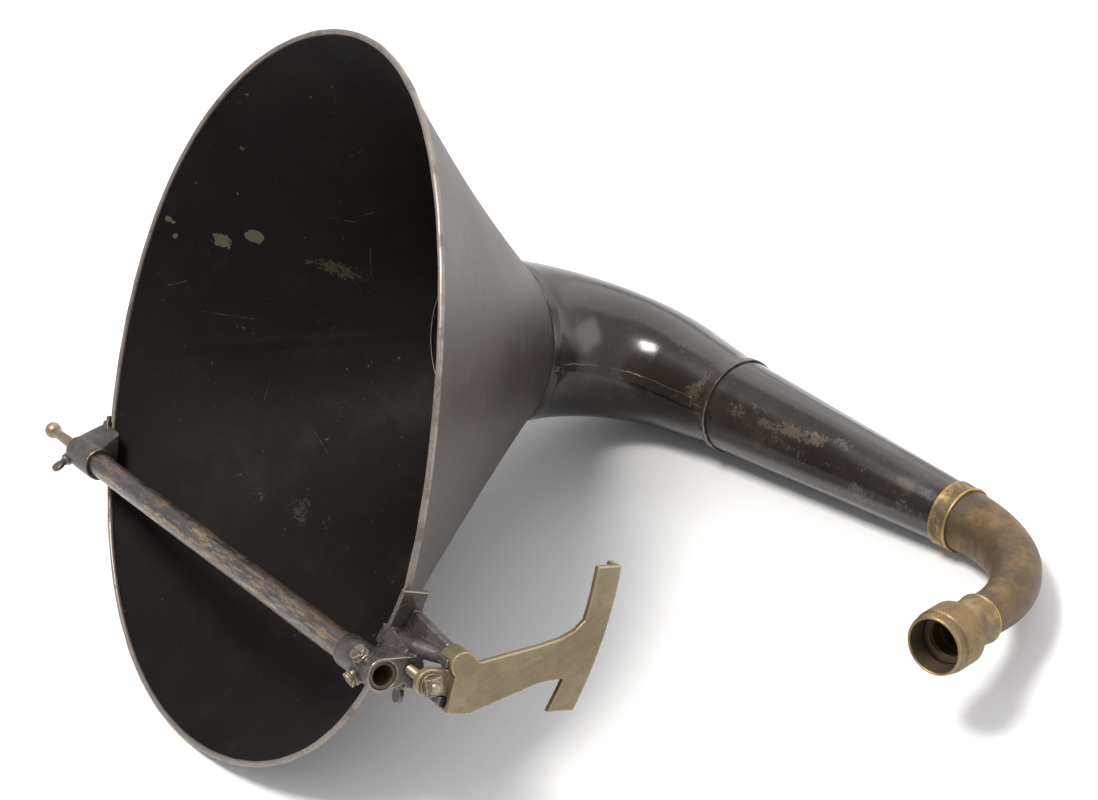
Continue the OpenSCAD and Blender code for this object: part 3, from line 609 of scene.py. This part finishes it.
def put_attributes(mesh, flow, wear):
    """Stores the places and the wear that the materials read."""
    a = mesh.attributes.new("flow", "FLOAT_VECTOR", "POINT")
    a.data.foreach_set("vector", flow.ravel())
    w = mesh.attributes.new("wear", "FLOAT", "POINT")
    w.data.foreach_set("value", wear)
    mesh.polygons.foreach_set("use_smooth", [True] * len(mesh.polygons))


def outward(obj):
    """Turns a closed mesh's faces outward."""
    bm = bmesh.new()
    bm.from_mesh(obj.data)
    bmesh.ops.recalc_face_normals(bm, faces=bm.faces)
    bm.to_mesh(obj.data)
    bm.free()
    return obj


def make(name, verts, faces, to_world, mats, flow=None, wear=None, mat_index=None):
    """A closed mesh from points in mm in a local frame; flow keeps the local places."""
    mesh = bpy.data.meshes.new(name)
    v = np.asarray(verts, float) * MM
    to = np.array([list(r) for r in to_world])
    mesh.from_pydata((v @ to[:3, :3].T + to[:3, 3]).tolist(), [], [tuple(f) for f in faces])
    for m in mats:
        mesh.materials.append(MATERIALS[m])
    if mat_index is not None:
        mesh.polygons.foreach_set("material_index", np.asarray(mat_index, dtype=np.int32))
    put_attributes(mesh, v if flow is None else np.asarray(flow, float) * MM,
                   np.zeros(len(v)) if wear is None else np.asarray(wear, float))
    mesh.validate()
    mesh.update()
    return outward(add_object(name, mesh))


def grid(P, loop_u, loop_v):
    """Faces of a grid of points P[u][v]; u is the outer index."""
    m, n = len(P), len(P[0])
    faces = []
    for i in range(m if loop_u else m - 1):
        for j in range(n if loop_v else n - 1):
            i2, j2 = (i + 1) % m, (j + 1) % n
            faces.append((i * n + j, i2 * n + j, i2 * n + j2, i * n + j2))
    return faces


def rounded(profile, radius, steps):
    """Rounds the corners of a closed profile of (r, z) points; radius is one value or one each."""
    out = []
    n = len(profile)
    for k in range(n):
        p0, p1, p2 = (np.array(profile[(k + d) % n], float) for d in (-1, 0, 1))
        rad = radius[k] if isinstance(radius, (list, tuple)) else radius
        a, c = p0 - p1, p2 - p1
        la, lc = np.linalg.norm(a), np.linalg.norm(c)
        cut = min(rad, 0.45 * la, 0.45 * lc)
        if cut < 1e-4:
            out.append(p1)
            continue
        s, e = p1 + a / la * cut, p1 + c / lc * cut
        for t in np.linspace(0, 1, steps + 1):
            out.append((1 - t) ** 2 * s + 2 * t * (1 - t) * p1 + t ** 2 * e)
    return out


def fill(profile, step):
    """Adds points so that no side of a closed profile is longer than step."""
    out = []
    n = len(profile)
    for k in range(n):
        a, c = np.array(profile[k], float), np.array(profile[(k + 1) % n], float)
        cuts = max(1, int(math.ceil(np.linalg.norm(c - a) / step)))
        out += [a + (c - a) * i / cuts for i in range(cuts)]
    return out


def wobble(seed, *waves):
    """Smooth seeded dents over an angle and a length; a wave is (mm, from, to, how many)."""
    rng = np.random.default_rng(seed)
    terms = [(amp, int(rng.integers(lo, hi)), rng.uniform(0, 0.06), rng.uniform(0, 6.28))
             for amp, lo, hi, count in waves for _ in range(count)]

    def f(a, z):
        return sum(amp * np.sin(k * a + kz * z + ph) for amp, k, kz, ph in terms)
    return f


def spin(profile, sides):
    """Points of a profile of (r, z) turned about Z, a row for each side."""
    angles = [2 * math.pi * k / sides for k in range(sides)]
    return [[(r * math.cos(a), r * math.sin(a), z) for r, z in profile] for a in angles]


def lathe(name, node, profile, to_world, mats, sides, wear=None, dent=None, pick=None):
    """A fixed piece: a closed profile of (r, z) turned about Z, dented and worn as told."""
    pts, wr = [], []
    for k in range(sides):
        a = 2 * math.pi * k / sides
        row = []
        for r, z in profile:
            d = dent(a, z) if dent else 0.0
            row.append(((r + d) * math.cos(a), (r + d) * math.sin(a), z))
            wr.append(wear(a, z) if wear else 0.0)
        pts.append(row)
    faces = grid(pts, True, True)
    index = [pick(*profile[i % len(profile)]) for i in range(len(faces))] if pick else None
    obj = make(name, joined(pts), faces, to_world, mats, wear=wr, mat_index=index)
    place(obj, node, "horn")


# ---- bell

AROUND, ALONG = 384, 72
SEAM = math.radians(163)
A, S = np.meshgrid(np.linspace(0, 2 * math.pi, AROUND, endpoint=False),
                   np.linspace(0, 1, ALONG), indexing="ij")
sheet_dents = wobble(11, (0.16, 2, 6, 4), (0.06, 7, 16, 6))
gap = (A - SEAM + math.pi) % (2 * math.pi) - math.pi
reach = gap * (MOUTH_R * (1 - S) + THROAT_R * S)
ridge = np.exp(-(reach / 2.2) ** 2) * 0.45 * np.sin(math.pi * S)
hollow = (sheet_dents(A, S * 140) + 0.45) * np.sin(math.pi * S) ** 0.7
outer = bell_surface(A, S, 0.25, hollow - ridge)
inner = bell_surface(A, S[:, ::-1], RIM_WALL - 0.2, (hollow + ridge)[:, ::-1])
P = np.concatenate([outer, inner], axis=1)
faces = grid(P, True, True)
index = [int(i % (2 * ALONG) >= ALONG) for i in range(len(faces))]
bell = make("bell_sheet", P.reshape(-1, 3), faces, BELL, ["bell_out", "bell_in"], mat_index=index)
place(bell, "bell", "horn")

BEAD_TURNS, BEAD_SIDES = 720, 20
t = np.linspace(0, 2 * math.pi, BEAD_TURNS, endpoint=False)
bead_dents = wobble(12, (0.05, 3, 9, 4), (0.035, 20, 60, 8))
rows = []
for k in range(BEAD_SIDES):
    q = 2 * math.pi * k / BEAD_SIDES
    r = (BEAD_R - 0.12) * (1 + 0.03 * math.cos(3 * q)) + bead_dents(t, q * 9) * 0.6
    from_axis = MOUTH_R - RIM_WALL / 2 + r * math.cos(q)
    rows.append(np.stack([from_axis * np.cos(t), from_axis * np.sin(t),
                          lift(t) + r * math.sin(q)], -1))
P = np.stack(rows, 1)
bead = make("rolled_bead", P.reshape(-1, 3), grid(P, True, True), BELL, ["rim"])
place(bead, "rim_bead", "horn")

# ---- throat tube


def bend_point(radius, degrees, r, a):
    """A place at radius r and angle a round a bend's centre line, in mm."""
    q = math.radians(degrees)
    x, y = r * math.cos(a), r * math.sin(a)
    c = bend(radius, degrees)
    return c[0] + x * math.cos(q), y, c[2] - x * math.sin(q)


def neck_point(u, a, r):
    """The same for the throat tube, at u mm along its centre line."""
    q = min(max(u, 0), NECK_ARC) / NECK_R
    x, y, z = bend_point(NECK_R, math.degrees(q), r, a)
    past = max(0, u - NECK_ARC)
    return x + past * math.sin(q), y, z + past * math.cos(q) + min(u, 0) + SPIGOT_OUT


neck_dents = wobble(21, (0.10, 2, 5, 4), (0.05, 5, 12, 5))


def neck_half(name, node, a0, a1):
    """One of the gooseneck's two shells, from angle a0 to a1."""
    inner_end = -SPIGOT_IN - SPIGOT_OUT
    stations = [inner_end + 20 * k / 6 for k in range(6)]
    stations += [NECK_ARC * k / 60 for k in range(61)]
    stations += [NECK_ARC + JOINT_AT * k / 16 for k in range(1, 17)]
    steps = 64
    rows, flow, wear = [], [], []
    for u in stations:
        r = neck_radius(max(u, 0)) - 0.06
        rim = 0.5 * SHEET * max(0.0, 1 - abs(u - inner_end) / 0.8)
        row = []
        for side in (0, 1):
            order = range(steps + 1) if side == 0 else range(steps, -1, -1)
            for k in order:
                a = a0 + (a1 - a0) * k / steps
                dent = 0
                if u > 0:
                    dent = (neck_dents(a, u) - 0.3) * math.sin(math.pi * min(1, u / NECK_LEN))
                rr = r + dent - (SHEET - 0.1) * side - (rim if side == 0 else -rim)
                row.append(neck_point(u, a, rr))
                flow.append((r * math.cos(a), r * math.sin(a), u))
                seam = min(abs(math.sin(a)) * 4, 1)
                # The 1.3 at the spigot's inner end lifts the wear past 1, where the lacquer paints
                # a pale line along the lip: a painted highlight
                wear.append(0.35 * (1 - seam) + 0.3 * near(u, NECK_LEN - 4, 4)
                            + 1.3 * near(u, inner_end, 0.9) + 0.2 * near(u, -1, 5))
        rows.append(row)
    faces = grid(rows, False, True)
    n = len(rows[0])
    for base in (0, (len(rows) - 1) * n):
        for k in range(n // 2 - 1):
            faces.append((base + k, base + k + 1, base + n - 2 - k, base + n - 1 - k))
    shell = make(name, joined(rows), faces, THROAT, ["neck"], flow=flow, wear=wear)
    place(shell, node, "horn")


neck_half("gooseneck_lower", "gooseneck_lower_shell", 0.0, math.pi)
neck_half("gooseneck_upper", "gooseneck_upper_shell", math.pi, 2 * math.pi)

STRIP_STATIONS = 90
first, last = NECK_ARC / 18, NECK_LEN - 10
strip_points, faces, flow, wear = [], [], [], []
for side in (0.0, math.pi):
    rows = []
    for k in range(STRIP_STATIONS):
        u = first + (last - first) * k / (STRIP_STATIONS - 1)
        r = neck_radius(u)
        fade = min(1, k / 2.0, (STRIP_STATIONS - 1 - k) / 2.0)
        half = (2.75 + 0.18 * math.sin(u * 0.31) + 0.1 * math.sin(u * 0.9)) / r
        row = []
        for t1 in np.linspace(-1, 1, 13):
            lap = 0.12 + 0.72 * max(0.0, (t1 + 1) / 1.75) ** 1.6
            h = (lap if t1 < 0.76 else 0.84) * (1 - abs(t1) ** 14) * (0.3 + 0.7 * fade)
            row.append(neck_point(u, side + half * t1, r - 0.35 + h + 0.35 * (abs(t1) < 1)))
        for t1 in np.linspace(1, -1, 5):
            row.append(neck_point(u, side + half * t1 * 0.96, r - 0.5))
        rows.append(row)
        for i in range(len(row)):
            flow.append((r * math.cos(side) + i * 0.4, i * 0.4, u))
            wear.append(0.35 if i in (1, 2, 10, 11) else 0.1)
    n = len(rows[0])
    ends = [tuple(range(n)), tuple((len(rows) - 1) * n + k for k in range(n - 1, -1, -1))]
    faces += [tuple(i + len(strip_points) for i in q) for q in grid(rows, False, True) + ends]
    strip_points += joined(rows)
seams = make("seam_laps", strip_points, faces, THROAT, ["strip"], flow=flow, wear=wear)
place(seams, "gooseneck_seam_strips", "horn")

band_dents = wobble(31, (0.05, 3, 8, 5), (0.03, 12, 30, 6))
prof = rounded([(THROAT_R + 0.02, 0.25), (THROAT_R + 1.15, 0.25), (THROAT_R + 1.15, 2.75),
                (THROAT_R + 0.02, 2.75)], [0.05, 0.6, 0.8, 0.05], 6)
lathe("throat_seam", "throat_band", prof, THROAT, ["strip"], 256,
      lambda a, z: 0.25 + 0.2 * math.sin(3 * a), band_dents)

prof = rounded([(JOINT_R + 0.04, JOINT_AT - 2.95), (JOINT_R + 0.8, JOINT_AT - 2.95),
                (JOINT_R + 0.84, JOINT_AT + 0.5), (JOINT_R + 0.04, JOINT_AT + 0.55)],
               [0.05, 1.4, 0.35, 0.05], 5)
# Near its crest the band's wear passes 1, where the lacquer paints a pale line along the ridge: a
# painted highlight
lathe("joint_band", "joint_ring", fill(prof, 0.6), TAPER, ["ring"], 224,
      lambda a, z: 0.15 + 0.15 * math.sin(a * 2 + 0.7)
      + (0.8 + 0.3 * math.sin(3 * a)) * near(z, JOINT_AT + 0.1, 0.5), band_dents)

start = JOINT_AT + 0.15
plug_r = JOINT_R - SHEET - 0.15
prof = [(plug_r - SHEET, start - 8.9), (plug_r - 0.05, start - 8.9), (plug_r - 0.05, start),
        (JOINT_R - 0.15, start), (TAPER_END - 0.03, TAPER_LEN - 0.05),
        (TAPER_END - SHEET + 0.05, TAPER_LEN - 0.05), (plug_r - SHEET, start)]
prof = fill(rounded(prof, [0.1, 0.1, 0.05, 0.3, 0.15, 0.1, 0.1], 2), 3.0)
taper_dents = wobble(41, (0.05, 2, 6, 5), (0.03, 8, 20, 5))
lathe("tapered_tube", "taper_tube", prof, TAPER, ["taper"], 192,
      lambda a, z: 0.3 * near(z, JOINT_AT + 2, 5) + 0.3 * near(z, TAPER_LEN - 12, 8),
      lambda a, z: (taper_dents(a, z) - 0.16) if z > JOINT_AT + 3 else 0.0)

# ---- elbow and union

FERRULE = 9.0
R0 = TAPER_END + FERRULE * (JOINT_R - TAPER_END) / (TAPER_LEN - JOINT_AT)
prof = [(R0 + 0.12, -FERRULE + 0.02), (R0 + 0.86, -FERRULE + 0.02), (TAPER_END + 0.84, -0.75),
        (TAPER_END + 1.25, -0.4), (TAPER_END + 1.25, 0.75), (TAPER_END + 0.8, 0.95),
        (TAPER_END + 0.08, 0.97), (TAPER_END + 0.08, 0.0)]
prof = fill(rounded(prof, [0.1, 0.35, 0.2, 0.3, 0.3, 0.2, 0.1, 0.1], 4), 0.9)
lathe("elbow_sleeve", "elbow_ferrule", prof, ELBOW, ["ferrule"], 176,
      lambda a, z: 0.75 * near(z, 0.2, 0.6) + 0.35 * near(z, -8.5, 0.7) + 0.1)

elbow_dents = wobble(51, (0.07, 2, 5, 4), (0.035, 5, 12, 5))
rows, flow, wear = [], [], []
sides = 96
ELBOW_TAIL = 10.0
CREASES = (30, 38, 47, 56)
stations = [k / 90 for k in range(91)] + [1.0 + 0.25 * k for k in range(1, 5)]
for t0 in stations:
    t = min(t0, 1.0)
    past = max(0.0, t0 - 1.0) * ELBOW_TAIL
    q = t * math.radians(ELBOW_BEND)
    s = q * ELBOW_R
    row = []
    for side in (0, 1):
        for j in range(sides):
            a = 2 * math.pi * j / sides
            r = TAPER_END + (TAIL_R - TAPER_END) * t - 0.04 - 1.5 * side
            dent = 0.0
            if side == 0:
                inner_side = max(0, math.cos(a)) ** 4
                dent = (elbow_dents(a, s) - 0.14) * math.sin(math.pi * t)
                dent -= 0.28 * inner_side * sum(near(s, c, 2.1) for c in CREASES)
            x, y, z = bend_point(ELBOW_R, t * ELBOW_BEND, r + dent, a)
            row.append((x + past * math.sin(q), y, z + past * math.cos(q)))
            flow.append((r * math.cos(a), r * math.sin(a), s + past))
            wear.append(0.12 + 0.25 * max(0, -math.cos(a)) ** 2)
    rows.append(row)
faces = []
n = 2 * sides
for i in range(len(rows) - 1):
    for j in range(sides):
        j2 = (j + 1) % sides
        faces.append((i * n + j, (i + 1) * n + j, (i + 1) * n + j2, i * n + j2))
        faces.append((i * n + sides + j, i * n + sides + j2, (i + 1) * n + sides + j2,
                      (i + 1) * n + sides + j))
for i in (0, len(rows) - 1):
    for j in range(sides):
        j2 = (j + 1) % sides
        faces.append((i * n + j, i * n + j2, i * n + sides + j2, i * n + sides + j))
elbow = make("elbow_pipe", joined(rows), faces, ELBOW, ["elbow"], flow=flow, wear=wear)
place(elbow, "brass_elbow", "horn")

BACK = TAIL_LEN - NUT_LEN
z0 = ELBOW_TAIL + 0.07
prof = rounded([(TAIL_R - 1.55, z0), (TAIL_R + 1.45, z0), (TAIL_R + 1.45, z0 + 1.1),
                (TAIL_R + 0.95, z0 + 1.45), (TAIL_R + 0.95, BACK - 0.4),
                (TAIL_R - 1.55, BACK - 0.4)], [0.1, 0.45, 0.4, 0.3, 0.5, 0.1], 5)
lathe("union_sleeve", "union_ferrule", fill(prof, 1.1), UNION, ["sleeve"], 144,
      lambda a, z: 0.8 * near(z, z0 + 0.6, 0.6) + 0.4 * near(z, BACK - 0.7, 0.7) + 0.12)

prof = [(TAIL_R - 1.55, BACK - 0.28), (TAIL_R - 0.03, BACK - 0.28), (TAIL_R - 0.03, BACK + 3.12),
        (THREAD_R - 0.65, BACK + 3.12), (THREAD_R - 0.65, BACK + 6.05),
        (TAIL_R - 1.55, BACK + 6.05)]
prof = fill(rounded(prof, [0.1, 0.1, 0.05, 0.15, 0.3, 0.3], 2), 1.5)
lathe("tail_tube", "union_tailpiece", prof, UNION, ["elbow"], 144,
      lambda a, z: 0.15)

prof = fill(rounded([(TAIL_R - 1.5, BACK + 6.2), (THREAD_R - 0.65, BACK + 6.2),
                     (THREAD_R - 0.65, BACK + 7.7), (TAIL_R - 1.5, BACK + 7.7)], 0.35, 4), 0.6)
lathe("washer_leather", "union_gasket", prof, UNION, ["leather"], 144,
      dent=wobble(61, (0.03, 4, 12, 6)))


def union_nut():
    """Diamond-knurled band, plain rolled lip and the start of the thread."""
    teeth, sides_per_tooth, slant, knurl_depth = 74, 8, 0.62, 0.5
    sides = teeth * sides_per_tooth
    top = NUT_LEN - 5.5
    bore = TAIL_R + 0.1
    # (r, z, how deep the knurl is cut there)
    profile = [(NUT_R - 0.9, 0.05, 0), (NUT_R - 0.35, 0.25, 0.2)]
    profile += [(NUT_R - 0.1, z, 1.0) for z in [0.6] + list(np.arange(0.85, top - 0.5, 0.21))]
    profile += [(NUT_R - 0.3, top - 0.35, 0.4)]
    lip = [(0.95, top), (1.35, top + 0.35), (1.4, top + 0.8), (1.1, top + 1.2), (0.95, top + 1.9),
           (1.05, top + 3.0), (1.25, top + 3.9), (1.5, NUT_LEN - 0.75), (1.9, NUT_LEN - 0.2),
           (2.25, NUT_LEN - 0.02)]
    profile += [(NUT_R - d, z, 0) for d, z in lip]
    profile += [(THREAD_R + 0.5, NUT_LEN - 0.12, 0), (THREAD_R + 0.18, NUT_LEN - 0.5, 0),
                (THREAD_R + 0.05, NUT_LEN - 1.2, 0)]
    z = NUT_LEN - 1.6
    while z > 9.0:
        for d, dz in ((0.42, 0.0), (0.42, 0.1), (0.02, 0.42), (0.02, 0.6)):
            profile.append((THREAD_R + d, z - dz, 0))
        z -= 1.0
    profile += [(THREAD_R - 0.25, 7.75, 0), (THREAD_R - 0.25, 3.05, 0), (bore, 3.0, 0),
                (bore - 0.03, 0.1, 0), (TAIL_R + 0.4, 0.02, 0), (NUT_R - 1.6, 0.02, 0)]
    rows, wear = [], []
    for k in range(sides):
        a = 2 * math.pi * k / sides
        row = []
        for r, z, cut in profile:
            if cut:
                p1, p2 = (abs((k / sides_per_tooth + way * z) % 1 - 0.5) * 2
                          for way in (slant, -slant))
                h = min(p1, p2)
                r = r - knurl_depth * cut * (1 - h)
                wear.append(0.15 + 0.6 * h)
            else:
                edge = near(z, NUT_LEN - 0.3, 0.7) if r > THREAD_R else 0
                wear.append(0.2 + 0.75 * edge)
            row.append((r * math.cos(a), r * math.sin(a), z + BACK))
        rows.append(row)
    inside = [int(r < THREAD_R + 0.6 and z < NUT_LEN - 1.0) for r, z, cut in profile]
    nut = make("knurled_nut", joined(rows), grid(rows, True, True), UNION, ["nut", "bore"],
               wear=wear, mat_index=inside * sides)
    place(nut, "union_nut", "nut")


union_nut()

# ---- yoke

# The tube and the pin lie along the yoke's X: these are places on it
TUBE_LEFT, TUBE_RIGHT, TUBE_CORE = -167.9, 191.4, 40
PIN_INNER, PIN_OUT, BALL_Z, BALL_R = -150.05, -181.0, -216.5, 4.55
X_AXIS = Matrix(((0, 0, 1, 0), (0, 1, 0, 0), (-1, 0, 0, 0), (0, 0, 0, 1)))
AXLE = YOKE @ X_AXIS
prof = [(TUBE_BORE - 0.18, TUBE_LEFT), (TUBE_R - 0.03, TUBE_LEFT),
        (TUBE_R - 0.03, TUBE_RIGHT - 0.02), (TUBE_BORE + 0.02, TUBE_RIGHT - 0.02),
        (TUBE_BORE + 0.02, TUBE_RIGHT - TUBE_CORE), (TUBE_BORE - 0.18, TUBE_RIGHT - TUBE_CORE)]
prof = fill(rounded(prof, [0.1, 0.2, 0.35, 0.25, 0.05, 0.05], 4), 3.5)
lathe("cross_tube_pipe", "cross_tube", prof, AXLE,
      ["tube", "sleeve", "casting"], 96, dent=wobble(71, (0.02, 2, 6, 4)),
      pick=lambda r, z: 1 if r < TUBE_BORE + 0.3 else 2 if z > TUBE_RIGHT - 0.6 else 0)

prof = [(0.01, PIN_INNER), (PIN_R - 0.3, PIN_INNER), (PIN_R - 0.02, PIN_INNER - 0.45),
        (PIN_R - 0.02, PIN_OUT + 1), (PIN_R - 0.02, PIN_OUT - 4), (PIN_R - 0.12, PIN_OUT - 14),
        (PIN_R - 0.25, PIN_OUT - 24), (PIN_R - 0.3, BALL_Z + 4.6)]
for k in range(33):
    q = math.radians(36 + (180 - 36) * k / 32)
    prof.append((max(0.01, BALL_R * math.sin(q)), BALL_Z + BALL_R * math.cos(q)))
rows = spin(prof, 72)
pin = make("ball_stud", joined(rows), grid(rows, True, False), AXLE, ["pin"],
           wear=[0.3 + 0.4 * (z < BALL_Z + 3) for r, z in prof] * len(rows))
place(pin, "ball_pin", "pin")


def vertex_vectors(mesh, what):
    values = np.empty(len(mesh.vertices) * 3)
    mesh.vertices.foreach_get(what, values)
    return values.reshape(-1, 3)


def rounded_copy(name, node, mat, body, slot, voxel, rounds, seed=0, rough=0.0):
    """A CAD node's shape with its edges eased, as a fine mesh that knows where its edges are."""
    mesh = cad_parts[node].data.copy()
    obj = add_object(name, mesh)
    mesh.materials.clear()
    mod = obj.modifiers.new("remesh", "REMESH")
    mod.mode = "VOXEL"
    mod.voxel_size = voxel * MM
    mod.adaptivity = 0.0
    dep = bpy.context.evaluated_depsgraph_get()
    fine = bpy.data.meshes.new_from_object(obj.evaluated_get(dep))
    obj.modifiers.clear()
    obj.data = fine
    bpy.data.meshes.remove(mesh)
    fine.name = name
    bm = bmesh.new()
    bm.from_mesh(fine)
    for _ in range(rounds):
        bmesh.ops.smooth_vert(bm, verts=bm.verts, factor=0.5, use_axis_x=True, use_axis_y=True,
                              use_axis_z=True)
    bm.to_mesh(fine)
    bm.free()
    co, no = vertex_vectors(fine, "co"), vertex_vectors(fine, "normal")
    count = len(co)
    edges = np.empty(len(fine.edges) * 2, dtype=np.int32)
    fine.edges.foreach_get("vertices", edges)
    edges = edges.reshape(-1, 2)

    def spread(values):
        """The mean over each vertex's neighbours."""
        total = np.zeros((count,) + values.shape[1:])
        np.add.at(total, edges[:, 0], values[edges[:, 1]])
        np.add.at(total, edges[:, 1], values[edges[:, 0]])
        degree = np.bincount(edges.ravel(), minlength=count).astype(float)
        degree[degree == 0] = 1
        return total / degree.reshape((-1,) + (1,) * (values.ndim - 1))

    curve = np.clip(-9 * np.sum((spread(co) - co) * no, axis=1) / (voxel * MM), 0, 1)
    for _ in range(3):
        curve = 0.5 * curve + 0.5 * spread(curve)
    if rough:
        waves = np.sin(co[:, 0] * 900 + seed) + np.sin(co[:, 1] * 1100) + np.sin(co[:, 2] * 1000)
        co = co + no * (rough * MM * waves / 3)[:, None]
        fine.vertices.foreach_set("co", co.ravel())
    put_attributes(fine, co, np.clip(curve * 1.3, 0, 1))
    fine.materials.append(MATERIALS[mat])
    fine.update()
    place(obj, node, body)


# name, CAD node, material, body, slot, voxel in mm, rounds of smoothing, and for the castings
# a seed and how uneven they are in mm
for row in (
        ("left_yoke_casting", "left_casting", "casting", "horn", "cast_grey", 0.42, 4, 3, 0.05),
        ("right_yoke_casting", "right_casting", "casting", "horn", "cast_grey", 0.42, 4, 4, 0.05),
        ("bracket_plate", "mount_bracket", "bracket", "bracket", "bracket_brass", 0.42, 4),
        ("thumb_screw_left", "left_thumbscrew", "casting", "left_thumb", "cast_grey", 0.2, 3),
        ("thumb_screw_right", "right_thumbscrew", "casting", "right_thumb", "cast_grey", 0.2, 3),
        ("clamp_screw_pair", "tube_clamp_screws", "screw", "horn", "screw_metal", 0.16, 2),
        ("square_nut", "bracket_nut", "screw", "bracket_nut", "screw_metal", 0.16, 3),
        ("nut_washer", "bracket_washer", "screw", "bracket", "bracket_brass", 0.12, 2)):
    rounded_copy(*row)

STUD_Y, STUD_Z, STUD_FROM, STUD_TO = -3.6, 12.1, 181.05, 216.98
STUD_CREST, STUD_ROOT, STUD_PITCH = 2.36, 1.98, 0.75
STUD = YOKE @ shift(0, STUD_Y, STUD_Z) @ X_AXIS
prof = [(0.01, STUD_FROM), (2.2, STUD_FROM)]
z = STUD_FROM + 0.45
while z < STUD_TO - 0.68:
    prof += [(STUD_CREST, z), (STUD_CREST, z + 0.15), (STUD_ROOT, z + 0.4), (STUD_ROOT, z + 0.5)]
    z += STUD_PITCH
prof += [(2.1, STUD_TO - 0.38), (1.6, STUD_TO - 0.03), (0.01, STUD_TO)]
rows = spin(prof, 48)
stud = make("stud_thread", joined(rows), grid(rows, True, False), STUD, ["pin"],
            wear=[0.3] * (len(rows) * len(prof)))
place(stud, "bracket_stud", "horn")

# ---- floor, light and camera

low, high = (Vector(c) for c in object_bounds())
FLOOR_HALF = 4.0
floor = bpy.data.meshes.new("floor")
floor.from_pydata([(x * FLOOR_HALF, y * FLOOR_HALF, low.z)
                   for x, y in ((-1, -1), (1, -1), (1, 1), (-1, 1))], [], [(0, 1, 2, 3)])
paper = Mat("floor_paper", "object")
pale = paper.mix(paper.noise(2.0, 4, 0.5), (0.80, 0.80, 0.80), (0.85, 0.85, 0.85))
floor.materials.append(paper.finish(pale, 0.75, 0.0, paper.noise(900, 3, 0.6), 0.0001))
add_object("floor", floor)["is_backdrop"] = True

world = bpy.data.worlds.new("studio")
bpy.context.scene.world = world
world.use_nodes = True
background = world.node_tree.nodes["Background"]
background.inputs["Color"].default_value = (0.98, 0.98, 1.0, 1)
background.inputs["Strength"].default_value = 0.65


def aimed(origin, aim):
    """A frame at a place, looking down its own -Z at another place."""
    return Matrix.Translation(origin) @ (aim - origin).to_track_quat("-Z", "Y").to_matrix().to_4x4()


def area(name, at, aim, size, power, color, size_y=None):
    light = bpy.data.lights.new(name, "AREA")
    light.energy = power
    light.color = color
    light.shape = "RECTANGLE" if size_y else "SQUARE"
    light.size = size
    if size_y:
        light.size_y = size_y
    add_object(name, light).matrix_world = aimed(at, aim)


# The photograph's view, fitted in a frame at the mouth that is tilted from the horn's own
FIT_TILT, VIEW_DIR, VIEW_UP = 130.6, (-0.790, 0.2155, -0.574), (-0.416, 0.499, 0.760)
VIEW_FROM, SENSOR, LENS = (1.0548, -0.1574, 0.6767), 36.0, 85.2459
facing = (REST @ turn("X", FIT_TILT)).to_3x3()
look = (facing @ Vector(VIEW_DIR)).normalized()
right = look.cross(facing @ Vector(VIEW_UP)).normalized()
up = right.cross(look).normalized()
eye = REST.translation + facing @ Vector(VIEW_FROM)
centre = (low + high) / 2


def from_camera(x, y, z):
    """A point beside the camera: x right, y up and z towards the viewer, from the middle."""
    return centre + right * x + up * y - look * z


area("key", from_camera(-0.7, 1.2, 1.1), centre, 0.55, 35, (1.0, 0.985, 0.955))
area("fill", from_camera(1.5, 0.3, 1.0), centre, 1.3, 12, (0.98, 0.985, 1.0))
area("top", from_camera(0.5, 1.6, -0.4), centre, 2.4, 14, (1.0, 0.985, 0.965), 1.6)

cam_data = bpy.data.cameras.new("camera")
cam_data.sensor_width = SENSOR
cam_data.lens = LENS
cam_data.clip_start = 0.01
cam = add_object("camera", cam_data)
cam.matrix_world = Matrix.Translation(eye) @ Matrix((right, up, -look)).transposed().to_4x4()
bpy.context.scene.camera = cam
bpy.context.scene.view_settings.view_transform = "Standard"
